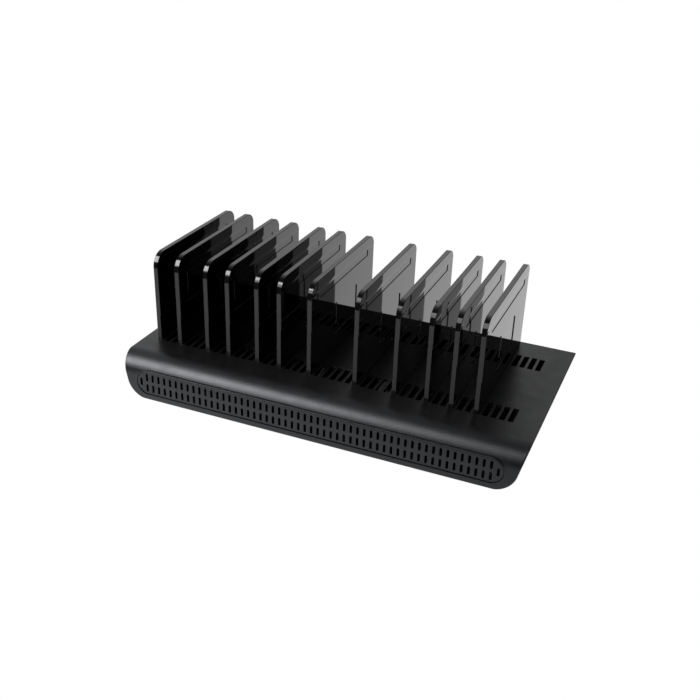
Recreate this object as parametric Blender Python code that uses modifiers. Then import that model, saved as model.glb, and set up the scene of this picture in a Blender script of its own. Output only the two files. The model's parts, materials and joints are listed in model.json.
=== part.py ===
"""A desk charging station: a long, low base, ten sockets at its back and twelve lift-out dividers on top.

X runs along the base, -Y is the side with the vent grille, +Z is up, and the rubber feet stand on Z = 0.
"""

from math import cos, pi, radians, sin, tan

import bmesh
import bpy
from mathutils import Matrix

# Clearances and overruns
GAP = 0.0003  # between any two pieces
OVERRUN = 0.004  # how far a cutter passes the surface that it cuts
EMBED = 0.0005  # how deep a boss or tab starts inside the wall that it grows from
WELD = 0.000001

# Base
BASE_LENGTH = 0.330  # along the flat top
BASE_DEPTH = 0.1673
BASE_HEIGHT = 0.0345  # from the underside to the flat top
WALL = 0.0025
FOOT_PROUD = 0.002  # how far the feet hold the underside off the desk
END_TAPER = radians(14.2)  # the ends lean in towards the bottom
END_CORNER_RADIUS = 0.018
FRONT_ROUND_DEPTH = 0.018
FRONT_ROUND_HEIGHT = 0.016
FRONT_LEAN = 0.0011  # the front face stands this much further out at its foot
FRONT_STEPS = 10
CORNER_STEPS = 7

# Slots for the dividers, counted from the left end
SLOT_COUNT = 47
SLOT_MARGIN_LEFT = 0.0135  # from the end of the top to the first slot's centre
SLOT_MARGIN_RIGHT = 0.0221
SLOT_WIDTH = 0.00395
SLOT_LENGTH = 0.0197
FRONT_SLOT_MARGIN = 0.0379  # from the foot of the front face to the front row
REAR_SLOT_MARGIN = 0.0251  # from the rear face to the rear row

# Dividers
DIVIDER_SLOTS = (0, 3, 7, 10, 14, 17, 21, 27, 32, 36, 39, 42)  # the slot that each one stands in
DIVIDER_THICKNESS = 0.00374
DIVIDER_REAR_MARGIN = 0.0045  # from the rear face to the plate's rear edge
DIVIDER_HEIGHT = 0.0741
DIVIDER_FRONT_RADIUS = 0.012
DIVIDER_REAR_RADIUS = 0.010
DIVIDER_FRONT_LEAD = 0.0003  # the plate's front edge stands this far ahead of its front tab
DIVIDER_STEPS = 6
TAB_REACH = 0.0045  # below the cover's top wall
TAB_DRAFT = 0.0012  # how much each end of a tab draws in towards its tip

# Grille in the front face
GRILLE_END_MARGIN = 0.0145  # from the end of the base to the end of the opening
GRILLE_TOP_MARGIN = 0.0099  # from the flat top down to the opening
GRILLE_FOOT_MARGIN = 0.0044  # from the underside up to the opening
GRILLE_RECESS = 0.00104  # behind the foot of the front face
GRILLE_THICKNESS = 0.0018
GRILLE_COLUMNS = 54
GRILLE_LAST_SLOT = 0.00415  # from the end of the opening to the single slot there
GRILLE_SLOT_WIDTH = 0.0020
GRILLE_SLOT_HEIGHT_SHARE = 0.3366  # of the opening's height
GRILLE_ROW_SPACING_SHARE = 0.4629
GRILLE_SLOT_STEPS = 3

# Port panel in the rear face
PORT_END_MARGIN = 0.030  # from the end of the base to the end of the opening
PORT_TOP_MARGIN = 0.0099  # from the flat top down to the opening
PORT_FOOT_MARGIN = 0.0044  # from the underside up to the opening
PORT_OVERLAP = 0.0014  # how far the panel reaches past its opening behind the wall
PORT_THICKNESS = 0.0020
STADIUM_STEPS = 8

# USB sockets
PORT_COUNT = 10
PORT_SPREAD_SHARE = 0.7435  # of the way from inlet to switch, spanned by the sockets' middles
SHELL_WIDTH = 0.0132
SHELL_HEIGHT = 0.0058
SHELL_DEPTH = 0.0135
SHELL_WALL = 0.00035
TONGUE_THICKNESS = 0.0018
TONGUE_SETBACK = 0.0015  # behind the mouth of the shell
TONGUE_BLOCK_DEPTH = 0.0030

# Main board and what stands on it
BOARD_THICKNESS = 0.0016
BOARD_END_MARGIN = 0.033  # from the ends of the base's top
BOARD_FRONT_MARGIN = 0.0336  # from the foot of the front face
BOARD_REAR_MARGIN = 0.0048  # from the rear face
SEAT_DROP_SHARE = 0.198  # of the port opening's height, from its middle down to what stands on the board
STANDOFF_RADIUS = 0.0030
STANDOFF_X_SHARES = (-0.46, -0.20, 0.20, 0.46)  # of the board's length
STANDOFF_Y_SHARES = (-0.42, 0.25)  # of the board's depth
TRANSFORMER_LENGTH = 0.030
TRANSFORMER_CORE_DEPTH = 0.010
TRANSFORMER_HEIGHT_SHARE = 0.86  # of the room above the board
BOBBIN_LENGTH = 0.021
BOBBIN_DEPTH = 0.026
BOBBIN_HEIGHT_SHARE = 0.73  # of the transformer's height
TRANSFORMER_PLACE_SHARES = (0.02, 0.02)  # places are shares of the board's length and depth
MAINS_CAPACITOR_RADIUS = 0.0085
MAINS_CAPACITOR_HEIGHT_SHARE = 0.86  # of the room above the board
MAINS_CAPACITOR_PLACE_SHARES = (-0.16, 0.02)
OUTPUT_CAPACITOR_RADIUS = 0.0050
OUTPUT_CAPACITOR_HEIGHT_SHARE = 0.72
OUTPUT_CAPACITOR_PLACE_SHARES = ((0.205, 0.10), (0.205, -0.06))
CAPACITOR_GROOVE = 0.0006
CAPACITOR_EDGE = 0.0010
CHOKE_RADIUS = 0.0080
CHOKE_WIRE_RADIUS = 0.0034
CHOKE_PLACE_SHARES = (-0.30, 0.02)
FUSE_RADIUS = 0.0026
FUSE_LENGTH = 0.0200
FUSE_CAP_LENGTH = 0.0050
FUSE_GLASS_RADIUS = 0.0022
FUSE_PLACE_SHARES = (-0.385, 0.02)
SINK_LENGTH = 0.0340
SINK_PLATE = 0.0020
SINK_FIN = 0.0060
SINK_FIN_WIDTH = 0.0014
SINK_FIN_COUNT = 6
SINK_HEIGHT_SHARE = 0.837  # of the room above the board
SINK_PLACE_SHARES = ((-0.075, -0.05), (0.135, -0.05))

# Mains inlet
INLET_MARGIN = 0.020  # from the opening's end to the inlet's middle
INLET_WIDTH = 0.0220
INLET_HEIGHT_SHARE = 0.594  # of the port opening's height
INLET_DEPTH = 0.0180
CONNECTOR_BORDER = 0.0010  # how far the flanges of the inlet and the switch overhang
FLANGE_THICKNESS = 0.0012
INLET_SOCKET_LENGTH = 0.0170
INLET_RIM = 0.0018  # above and below the socket's mouth
INLET_SOCKET_DEPTH = 0.0140
PIN_RADIUS = 0.0012
PIN_SPACING = 0.0086
PIN_SETBACK = 0.0040  # behind the inlet's mouth
PIN_TAIL = 0.0020  # past the inlet's back

# Power switch
SWITCH_MARGIN = 0.020  # from the opening's other end to the switch's middle
SWITCH_WIDTH = 0.0190
SWITCH_HEIGHT_SHARE = 0.594
SWITCH_DEPTH = 0.0130
SWITCH_WALL = 0.0014
ROCKER_HALF_LENGTH = 0.0065
ROCKER_TIP_RISE = 0.0046  # from the pivot to a tip
ROCKER_DIP_RISE = 0.0030  # from the pivot to the hollow in the middle
ROCKER_ROOT_HALF_LENGTH = 0.0050
ROCKER_ROOT_DROP = 0.0020
ROCKER_TILT = radians(10)  # each way from level
ROCKER_PIVOT_SETBACK = 0.0046  # behind the face of the switch's flange

# Screws and the bosses that they hold
BOSS_END_MARGIN = 0.0655  # from the end of the base's top
BOSS_SETBACK_FRONT = 0.0217  # from the foot of the front face
BOSS_SETBACK_REAR = 0.0197  # from the rear face
BOSS_RADIUS = 0.0035
SCREW_SHANK_RADIUS = 0.00115
SCREW_SHANK_LENGTH = 0.0090
SCREW_HEAD_RADIUS = 0.0026
SCREW_HEAD_HEIGHT = 0.0012
SCREW_SINK = 0.0015  # depth of the head's counterbore
CROSS_WIDTH = 0.0007
CROSS_DEPTH = 0.0006

# Bottom cover and feet
OPENING_MARGIN_X = 0.0043  # between the bottom opening and where the lower corners begin
OPENING_MARGIN_Y = 0.0060
FOOT_RADIUS = 0.0060
FOOT_POCKET = 0.0012
FOOT_END_MARGIN = 0.0400  # from the end of the base's top to the foot's middle
FOOT_SIDE_MARGIN = 0.01565
ROUND_STEPS = 24
SMALL_STEPS = 12

# Levels and places that follow from the sizes above
Z_BOTTOM = FOOT_PROUD
Z_TOP = Z_BOTTOM + BASE_HEIGHT
Z_FLOOR = Z_BOTTOM + WALL  # inner face of the bottom cover
Z_CEILING = Z_TOP - WALL
Y_FRONT = -BASE_DEPTH / 2
Y_REAR = BASE_DEPTH / 2
CORNER_CENTRE_Z = Z_BOTTOM + END_CORNER_RADIUS
CORNER_CENTRE_X = (
    BASE_LENGTH / 2 - tan(END_TAPER) * (Z_TOP - CORNER_CENTRE_Z) - END_CORNER_RADIUS / cos(END_TAPER)
)
FIRST_SLOT_X = -BASE_LENGTH / 2 + SLOT_MARGIN_LEFT
SLOT_PITCH = (BASE_LENGTH - SLOT_MARGIN_LEFT - SLOT_MARGIN_RIGHT) / (SLOT_COUNT - 1)
FRONT_SLOT_Y = Y_FRONT + FRONT_SLOT_MARGIN + SLOT_LENGTH / 2
REAR_SLOT_Y = Y_REAR - REAR_SLOT_MARGIN - SLOT_LENGTH / 2
TAB_FRONT_Y = FRONT_SLOT_Y - SLOT_LENGTH / 2 + GAP
DIVIDER_FRONT_Y = TAB_FRONT_Y - DIVIDER_FRONT_LEAD
DIVIDER_DEPTH = Y_REAR - DIVIDER_REAR_MARGIN - DIVIDER_FRONT_Y
DIVIDER_Y = DIVIDER_FRONT_Y + DIVIDER_DEPTH / 2
GRILLE_HEIGHT = BASE_HEIGHT - GRILLE_TOP_MARGIN - GRILLE_FOOT_MARGIN
GRILLE_Z = Z_BOTTOM + GRILLE_FOOT_MARGIN + GRILLE_HEIGHT / 2
PORT_OPENING_HEIGHT = BASE_HEIGHT - PORT_TOP_MARGIN - PORT_FOOT_MARGIN
PORT_Z = Z_BOTTOM + PORT_FOOT_MARGIN + PORT_OPENING_HEIGHT / 2
INLET_HEIGHT = INLET_HEIGHT_SHARE * PORT_OPENING_HEIGHT
SWITCH_HEIGHT = SWITCH_HEIGHT_SHARE * PORT_OPENING_HEIGHT
PORT_FACE_Y = Y_REAR - WALL - GAP
PORT_OPENING_LENGTH = BASE_LENGTH - 2 * PORT_END_MARGIN
INLET_X = INLET_MARGIN - PORT_OPENING_LENGTH / 2
SWITCH_X = PORT_OPENING_LENGTH / 2 - SWITCH_MARGIN
PORT_PITCH = PORT_SPREAD_SHARE * (SWITCH_X - INLET_X) / (PORT_COUNT - 1)
PORTS_X = (INLET_X + SWITCH_X) / 2
BOARD_LENGTH = BASE_LENGTH - 2 * BOARD_END_MARGIN
BOARD_FRONT_Y = Y_FRONT + BOARD_FRONT_MARGIN
BOARD_REAR_Y = Y_REAR - BOARD_REAR_MARGIN
BOARD_DEPTH = BOARD_REAR_Y - BOARD_FRONT_Y
BOARD_Y = (BOARD_REAR_Y + BOARD_FRONT_Y) / 2
SEAT_Z = PORT_Z - SEAT_DROP_SHARE * PORT_OPENING_HEIGHT  # where parts stand on the board
BOARD_TOP_Z = SEAT_Z - GAP
BOARD_UNDERSIDE_Z = BOARD_TOP_Z - BOARD_THICKNESS
ROOM = Z_CEILING - SEAT_Z  # between the board's parts and the top wall
BOSS_X = BASE_LENGTH / 2 - BOSS_END_MARGIN
BOSS_PLACES = [
    (side * BOSS_X, y)
    for side in (-1, 1)
    for y in (Y_FRONT + BOSS_SETBACK_FRONT, Y_REAR - BOSS_SETBACK_REAR)
]
FOOT_X = BASE_LENGTH / 2 - FOOT_END_MARGIN
FOOT_Y = BASE_DEPTH / 2 - FOOT_SIDE_MARGIN
FOOT_PLACES = [(side * FOOT_X, end * FOOT_Y) for side in (-1, 1) for end in (-1, 1)]
OPENING_HALF_X = CORNER_CENTRE_X - OPENING_MARGIN_X
OPENING_HALF_Y = BASE_DEPTH / 2 - OPENING_MARGIN_Y

# Turns that lay a flat outline in the XZ plane or in the YZ plane
UPRIGHT_XZ = Matrix.Rotation(pi / 2, 4, "X")
UPRIGHT_YZ = Matrix(((0, 0, 1, 0), (1, 0, 0, 0), (0, 1, 0, 0), (0, 0, 0, 1)))
FLAT = Matrix.Identity(4)
ALONG_Y = Matrix.Rotation(-pi / 2, 4, "X")  # a cylinder's axis from Z to Y


def clear_scene():
    for item in list(bpy.data.objects):
        bpy.data.objects.remove(item, do_unlink=True)


def make_collection(name):
    group = bpy.data.collections.new(name)
    bpy.context.scene.collection.children.link(group)
    return group


def make_material(name, colour, roughness, metallic=0.0):
    material = bpy.data.materials.new(name)
    material.use_nodes = True
    shader = material.node_tree.nodes["Principled BSDF"]
    shader.inputs["Base Color"].default_value = (*colour, 1.0)
    shader.inputs["Roughness"].default_value = roughness
    shader.inputs["Metallic"].default_value = metallic
    material.diffuse_color = (*colour, 1.0)
    return material


def arc(centre, radii, start, end, steps):
    """Points from angle start to angle end on an ellipse with the two radii."""
    turns = [start + (end - start) * i / steps for i in range(steps + 1)]
    return [(centre[0] + radii[0] * cos(a), centre[1] + radii[1] * sin(a)) for a in turns]


def rectangle(width, height, centre=(0, 0)):
    return [
        (centre[0] + side_x * width / 2, centre[1] + side_y * height / 2)
        for side_x, side_y in ((-1, -1), (1, -1), (1, 1), (-1, 1))
    ]


def circle(radius, centre=(0, 0), steps=SMALL_STEPS):
    return arc(centre, (radius, radius), 0, 2 * pi, steps)[:-1]


def stadium(length, height, centre=(0, 0), steps=STADIUM_STEPS):
    """A bar with round ends, lying along the first axis."""
    radius = height / 2
    reach = length / 2 - radius
    right = arc((centre[0] + reach, centre[1]), (radius, radius), -pi / 2, pi / 2, steps)
    left = arc((centre[0] - reach, centre[1]), (radius, radius), pi / 2, 3 * pi / 2, steps)
    return right + left


def upright_slot(width, height, centre):
    """A bar with round ends, standing along the second axis."""
    lying = stadium(height, width, (0, 0), GRILLE_SLOT_STEPS)
    return [(centre[0] - v, centre[1] + u) for u, v in lying]


def shade_round(mesh):
    mesh.shade_smooth()
    mesh.set_sharp_from_angle(angle=radians(30))


def add_object(name, mesh, group, material=None, location=(0, 0, 0)):
    item = bpy.data.objects.new(name, mesh)
    item.location = location
    if material:
        mesh.materials.clear()
        mesh.materials.append(material)
    group.objects.link(item)
    if group is CUTTERS:
        item.hide_render = True
        item.display_type = "WIRE"
    return item


def evaluated_mesh(item):
    bpy.context.view_layer.update()
    graph = bpy.context.evaluated_depsgraph_get()
    return bpy.data.meshes.new_from_object(item.evaluated_get(graph))


def plate(name, loops, thickness, turn, group, material=None, location=(0, 0, 0)):
    """A flat outline, whose inner loops are holes, given a thickness and turned into its plane."""
    data = bpy.data.curves.new(name, "CURVE")
    data.dimensions = "2D"
    data.fill_mode = "BOTH"
    data.extrude = thickness / 2
    for loop in loops:
        spline = data.splines.new("POLY")
        spline.points.add(len(loop) - 1)
        for point, (u, v) in zip(spline.points, loop):
            point.co = (u, v, 0, 1)
        spline.use_cyclic_u = True
    flat = bpy.data.objects.new(name, data)
    bpy.context.scene.collection.objects.link(flat)
    mesh = evaluated_mesh(flat)
    bpy.data.objects.remove(flat, do_unlink=True)
    bpy.data.curves.remove(data)
    work = bmesh.new()
    work.from_mesh(mesh)
    bmesh.ops.remove_doubles(work, verts=work.verts, dist=WELD)
    bmesh.ops.transform(work, matrix=turn, verts=work.verts)
    bmesh.ops.recalc_face_normals(work, faces=work.faces)
    work.to_mesh(mesh)
    work.free()
    shade_round(mesh)
    return add_object(name, mesh, group, material, location)


def boxes(name, places, group, material=None, location=(0, 0, 0)):
    """Boxes in one mesh, each given as its size and its centre."""
    work = bmesh.new()
    for size, centre in places:
        matrix = Matrix.Translation(centre) @ Matrix.Diagonal((*size, 1))
        bmesh.ops.create_cube(work, size=1, matrix=matrix)
    mesh = bpy.data.meshes.new(name)
    work.to_mesh(mesh)
    work.free()
    return add_object(name, mesh, group, material, location)


def cylinders(name, places, group, material=None, turn=FLAT, location=(0, 0, 0), steps=ROUND_STEPS):
    """Upright cylinders in one mesh, each given as radius, x, y and its two heights."""
    work = bmesh.new()
    for radius, x, y, low, high in places:
        matrix = turn @ Matrix.Translation((x, y, (low + high) / 2))
        bmesh.ops.create_cone(
            work,
            cap_ends=True,
            segments=steps,
            radius1=radius,
            radius2=radius,
            depth=high - low,
            matrix=matrix,
        )
    mesh = bpy.data.meshes.new(name)
    work.to_mesh(mesh)
    work.free()
    shade_round(mesh)
    return add_object(name, mesh, group, material, location)


def turned(name, profile, group, material, location=(0, 0, 0), steps=ROUND_STEPS):
    """A turned solid from its half profile of (radius, height) points, top to bottom."""
    mesh = bpy.data.meshes.new(name)
    edges = [(i, i + 1) for i in range(len(profile) - 1)]
    mesh.from_pydata([(r, 0, z) for r, z in profile], edges, [])
    item = add_object(name, mesh, group, material, location)
    screw = item.modifiers.new("Turn", "SCREW")
    screw.axis = "Z"
    screw.steps = steps
    screw.render_steps = steps
    screw.use_merge_vertices = True
    screw.merge_threshold = WELD
    screw.use_smooth_shade = False
    return item


def combine(item, other, operation):
    step = item.modifiers.new(other.name, "BOOLEAN")
    step.object = other
    step.operation = operation
    step.solver = "EXACT"
    return step


def cut(item, *cutters):
    for cutter in cutters:
        combine(item, cutter, "DIFFERENCE")


def join(item, *others):
    for other in others:
        combine(item, other, "UNION")


def end_outline(inset=0.0):
    """The base seen from the front: leaning ends and round lower corners, drawn in by inset."""
    radius = END_CORNER_RADIUS - inset
    top_x = BASE_LENGTH / 2 - tan(END_TAPER) * inset - inset / cos(END_TAPER)
    corner = arc(
        (CORNER_CENTRE_X, CORNER_CENTRE_Z), (radius, radius), -END_TAPER, -pi / 2, CORNER_STEPS
    )
    right = [(top_x, Z_TOP - inset)] + corner
    left = [(-x, z) for x, z in reversed(right)]
    return right + left


def side_outline(inset=0.0):
    """The base seen from its end: a flat top that rounds over into the front face, drawn in by inset."""
    centre = (Y_FRONT + FRONT_LEAN + FRONT_ROUND_DEPTH, Z_TOP - FRONT_ROUND_HEIGHT)
    radii = (FRONT_ROUND_DEPTH - inset, FRONT_ROUND_HEIGHT - inset)
    front = arc(centre, radii, pi / 2, pi, FRONT_STEPS)
    rear = [(Y_REAR - inset, Z_BOTTOM + inset), (Y_REAR - inset, Z_TOP - inset)]
    return rear + front + [(Y_FRONT + inset, Z_BOTTOM + inset)]


def base_form(name, inset, group, material=None):
    """The space inside both outlines."""
    form = plate(
        name, [end_outline(inset)], BASE_DEPTH + 2 * OVERRUN, UPRIGHT_XZ, group, material
    )
    side = plate(
        name + "_side", [side_outline(inset)], BASE_LENGTH + 2 * OVERRUN, UPRIGHT_YZ, CUTTERS
    )
    combine(form, side, "INTERSECT")
    return form


def slot_x(number):
    return FIRST_SLOT_X + number * SLOT_PITCH


def make_top_cover(material):
    cover = base_form("top_cover", 0.0, PARTS, material)
    inside = base_form("inside_cutter", WALL, CUTTERS)
    bottom = boxes(
        "bottom_cutter",
        [((2 * OPENING_HALF_X, 2 * OPENING_HALF_Y, 2 * OVERRUN + WALL), (0, 0, Z_BOTTOM + WALL / 2))],
        CUTTERS,
    )
    cut(cover, inside, bottom)
    bosses = cylinders(
        "boss_form",
        [(BOSS_RADIUS, x, y, Z_FLOOR + GAP, Z_CEILING + EMBED) for x, y in BOSS_PLACES],
        CUTTERS,
        steps=SMALL_STEPS,
    )
    join(cover, bosses)
    bores = cylinders(
        "boss_bore_cutter",
        [
            (SCREW_SHANK_RADIUS + GAP, x, y, Z_BOTTOM, Z_BOTTOM + SCREW_SINK + SCREW_SHANK_LENGTH + GAP)
            for x, y in BOSS_PLACES
        ],
        CUTTERS,
        steps=SMALL_STEPS,
    )
    slots = boxes(
        "slot_cutter",
        [
            ((SLOT_WIDTH, SLOT_LENGTH, WALL + 2 * OVERRUN), (slot_x(i), y, Z_TOP - WALL / 2))
            for y in (FRONT_SLOT_Y, REAR_SLOT_Y)
            for i in range(SLOT_COUNT)
        ],
        CUTTERS,
    )
    grille = plate(
        "grille_cutter",
        [grille_outline(0.0)],
        2 * (OVERRUN + WALL),
        UPRIGHT_XZ,
        CUTTERS,
        location=(0, Y_FRONT, 0),
    )
    ports = plate(
        "port_cutter",
        [stadium(PORT_OPENING_LENGTH, PORT_OPENING_HEIGHT, (0, PORT_Z))],
        2 * (OVERRUN + WALL),
        UPRIGHT_XZ,
        CUTTERS,
        location=(0, Y_REAR, 0),
    )
    cut(cover, bores, slots, grille, ports)


def grille_outline(inset):
    length = BASE_LENGTH - 2 * GRILLE_END_MARGIN
    return stadium(length - 2 * inset, GRILLE_HEIGHT - 2 * inset, (0, GRILLE_Z))


def make_vent_grille(material):
    last_x = BASE_LENGTH / 2 - GRILLE_END_MARGIN - GRILLE_LAST_SLOT
    pitch = 2 * last_x / (GRILLE_COLUMNS + 1)
    places = [(-last_x, GRILLE_Z), (last_x, GRILLE_Z)]
    for row in (-1, 1):
        z = GRILLE_Z + row * GRILLE_ROW_SPACING_SHARE * GRILLE_HEIGHT / 2
        places += [(-last_x + pitch * (i + 1), z) for i in range(GRILLE_COLUMNS)]
    slot_height = GRILLE_SLOT_HEIGHT_SHARE * GRILLE_HEIGHT
    holes = [upright_slot(GRILLE_SLOT_WIDTH, slot_height, place) for place in places]
    middle_y = Y_FRONT + GRILLE_RECESS + GRILLE_THICKNESS / 2
    plate(
        "vent_grille",
        [grille_outline(GAP)] + holes,
        GRILLE_THICKNESS,
        UPRIGHT_XZ,
        PARTS,
        material,
        (0, middle_y, 0),
    )


def connector_z(height):
    """The middle of a connector of this height that stands on the board."""
    return SEAT_Z + height / 2


def port_x(number):
    return PORTS_X + (number - (PORT_COUNT - 1) / 2) * PORT_PITCH


def make_port_panel(material):
    outline = stadium(
        PORT_OPENING_LENGTH + 2 * PORT_OVERLAP, PORT_OPENING_HEIGHT + 2 * PORT_OVERLAP, (0, PORT_Z)
    )
    holes = [
        rectangle(SHELL_WIDTH + 2 * GAP, SHELL_HEIGHT + 2 * GAP, (port_x(i), connector_z(SHELL_HEIGHT)))
        for i in range(PORT_COUNT)
    ]
    holes.append(
        rectangle(INLET_WIDTH + 2 * GAP, INLET_HEIGHT + 2 * GAP, (INLET_X, connector_z(INLET_HEIGHT)))
    )
    holes.append(
        rectangle(SWITCH_WIDTH + 2 * GAP, SWITCH_HEIGHT + 2 * GAP, (SWITCH_X, connector_z(SWITCH_HEIGHT)))
    )
    middle_y = PORT_FACE_Y - PORT_THICKNESS / 2
    plate("port_panel", [outline] + holes, PORT_THICKNESS, UPRIGHT_XZ, PARTS, material, (0, middle_y, 0))


def divider_form():
    """One divider, its plate's lower edge at Z = 0 and its tabs below."""
    front = -DIVIDER_DEPTH / 2
    rear = DIVIDER_DEPTH / 2
    top = DIVIDER_HEIGHT
    rear_corner = arc(
        (rear - DIVIDER_REAR_RADIUS, top - DIVIDER_REAR_RADIUS),
        (DIVIDER_REAR_RADIUS, DIVIDER_REAR_RADIUS),
        0,
        pi / 2,
        DIVIDER_STEPS,
    )
    front_corner = arc(
        (front + DIVIDER_FRONT_RADIUS, top - DIVIDER_FRONT_RADIUS),
        (DIVIDER_FRONT_RADIUS, DIVIDER_FRONT_RADIUS),
        pi / 2,
        pi,
        DIVIDER_STEPS,
    )
    outline = [(front, 0), (rear, 0)] + rear_corner + front_corner
    form = plate("divider_form", [outline], DIVIDER_THICKNESS, UPRIGHT_YZ, CUTTERS)
    tab_depth = GAP + WALL + TAB_REACH
    for name, slot_y in (("front_tab_form", FRONT_SLOT_Y), ("rear_tab_form", REAR_SLOT_Y)):
        half = SLOT_LENGTH / 2 - GAP
        middle = slot_y - DIVIDER_Y
        tab_outline = [
            (middle - half, EMBED),
            (middle - half, -GAP - WALL),
            (middle - half + TAB_DRAFT, -tab_depth),
            (middle + half - TAB_DRAFT, -tab_depth),
            (middle + half, -GAP - WALL),
            (middle + half, EMBED),
        ]
        tab = plate(name, [tab_outline], SLOT_WIDTH - 2 * GAP, UPRIGHT_YZ, CUTTERS)
        join(form, tab)
    return form


def make_dividers(material):
    mesh = evaluated_mesh(divider_form())
    mesh.name = "divider"
    for place, slot in enumerate(DIVIDER_SLOTS, 1):
        add_object(f"divider_{place:02d}", mesh, PARTS, material, (slot_x(slot), DIVIDER_Y, Z_TOP + GAP))


def make_usb_sockets(metal, plastic):
    inner_width = SHELL_WIDTH - 2 * SHELL_WALL
    inner_height = SHELL_HEIGHT - 2 * SHELL_WALL
    mouth_y = PORT_FACE_Y + GAP
    back_y = mouth_y - SHELL_DEPTH
    block_half = inner_height / 2 - GAP
    block_front = back_y + TONGUE_BLOCK_DEPTH
    tip = mouth_y - TONGUE_SETBACK
    blade_top = TONGUE_THICKNESS
    profile = [
        (back_y, -block_half),
        (block_front, -block_half),
        (block_front, 0),
        (tip, 0),
        (tip, blade_top),
        (block_front, blade_top),
        (block_front, block_half),
        (back_y, block_half),
    ]
    z = connector_z(SHELL_HEIGHT)
    for i in range(PORT_COUNT):
        plate(
            f"usb_socket_{i + 1:02d}",
            [rectangle(SHELL_WIDTH, SHELL_HEIGHT), rectangle(inner_width, inner_height)],
            SHELL_DEPTH,
            UPRIGHT_XZ,
            PARTS,
            metal,
            (port_x(i), (mouth_y + back_y) / 2, z),
        )
        plate(
            f"usb_tongue_{i + 1:02d}",
            [profile],
            inner_width - 2 * GAP,
            UPRIGHT_YZ,
            PARTS,
            plastic,
            (port_x(i), 0, z),
        )


def board_place(shares):
    """A place on the board's top, from shares of its length and depth."""
    return (shares[0] * BOARD_LENGTH, BOARD_Y + shares[1] * BOARD_DEPTH, SEAT_Z)


def make_main_board(material):
    outline = rectangle(BOARD_LENGTH, BOARD_DEPTH, (0, BOARD_Y))
    holes = [circle(BOSS_RADIUS + GAP, place) for place in BOSS_PLACES if place[1] > BOARD_FRONT_Y]
    middle_z = (BOARD_UNDERSIDE_Z + BOARD_TOP_Z) / 2
    plate("main_board", [outline] + holes, BOARD_THICKNESS, FLAT, PARTS, material, (0, 0, middle_z))


def make_transformer(material):
    x, y, z = board_place(TRANSFORMER_PLACE_SHARES)
    height = TRANSFORMER_HEIGHT_SHARE * ROOM
    core_size = (TRANSFORMER_LENGTH, TRANSFORMER_CORE_DEPTH, height)
    core = boxes("transformer", [(core_size, (0, 0, height / 2))], PARTS, material, (x, y, z))
    bobbin_size = (BOBBIN_LENGTH, BOBBIN_DEPTH, BOBBIN_HEIGHT_SHARE * height)
    bobbin = boxes("bobbin_form", [(bobbin_size, (0, 0, height / 2))], CUTTERS, location=(x, y, z))
    join(core, bobbin)


def capacitor_profile(radius, height):
    """A can with a chamfered top edge and a groove pressed in above its foot."""
    neck = radius - CAPACITOR_GROOVE
    return [
        (0, height),
        (radius - CAPACITOR_EDGE, height),
        (radius, height - CAPACITOR_EDGE),
        (radius, 3 * CAPACITOR_EDGE),
        (neck, 2 * CAPACITOR_EDGE),
        (radius, CAPACITOR_EDGE),
        (radius, 0),
        (0, 0),
    ]


def make_capacitors(material):
    turned(
        "mains_capacitor",
        capacitor_profile(MAINS_CAPACITOR_RADIUS, MAINS_CAPACITOR_HEIGHT_SHARE * ROOM),
        PARTS,
        material,
        board_place(MAINS_CAPACITOR_PLACE_SHARES),
    )
    for number, shares in enumerate(OUTPUT_CAPACITOR_PLACE_SHARES, 1):
        turned(
            f"output_capacitor_{number}",
            capacitor_profile(OUTPUT_CAPACITOR_RADIUS, OUTPUT_CAPACITOR_HEIGHT_SHARE * ROOM),
            PARTS,
            material,
            board_place(shares),
            SMALL_STEPS,
        )


def make_ring_choke(material):
    x, y, z = board_place(CHOKE_PLACE_SHARES)
    bpy.ops.mesh.primitive_torus_add(
        major_radius=CHOKE_RADIUS,
        minor_radius=CHOKE_WIRE_RADIUS,
        major_segments=ROUND_STEPS,
        minor_segments=SMALL_STEPS,
        location=(x, y, z + CHOKE_WIRE_RADIUS),
    )
    choke = bpy.context.object
    choke.name = "ring_choke"
    choke.data.materials.append(material)
    shade_round(choke.data)
    bpy.context.collection.objects.unlink(choke)
    PARTS.objects.link(choke)


def make_fuse(material):
    x, y, z = board_place(FUSE_PLACE_SHARES)
    half = FUSE_LENGTH / 2
    profile = [
        (0, half),
        (FUSE_RADIUS, half),
        (FUSE_RADIUS, half - FUSE_CAP_LENGTH),
        (FUSE_GLASS_RADIUS, half - FUSE_CAP_LENGTH),
        (FUSE_GLASS_RADIUS, FUSE_CAP_LENGTH - half),
        (FUSE_RADIUS, FUSE_CAP_LENGTH - half),
        (FUSE_RADIUS, -half),
        (0, -half),
    ]
    fuse = turned("fuse", profile, PARTS, material, (x, y, z + FUSE_RADIUS), SMALL_STEPS)
    fuse.rotation_euler = (pi / 2, 0, 0)


def make_heat_sinks(material):
    """A plate with fins on one side, standing on the board."""
    spacing = (SINK_LENGTH - SINK_FIN_WIDTH) / (SINK_FIN_COUNT - 1)
    half = SINK_LENGTH / 2
    outline = [(-half, 0), (half, 0)]
    for i in reversed(range(SINK_FIN_COUNT)):
        left = i * spacing - half
        right = left + SINK_FIN_WIDTH
        outline += [(right, SINK_PLATE + SINK_FIN), (left, SINK_PLATE + SINK_FIN)]
        if i:
            outline += [(left, SINK_PLATE), (left - spacing + SINK_FIN_WIDTH, SINK_PLATE)]
    height = SINK_HEIGHT_SHARE * ROOM
    for number, shares in enumerate(SINK_PLACE_SHARES, 1):
        x, y, z = board_place(shares)
        sink = plate(
            f"heat_sink_{number}",
            [outline],
            height,
            FLAT,
            PARTS,
            material,
            (x, y, z + height / 2),
        )
        sink.rotation_euler = (0, 0, pi / 2)


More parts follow.
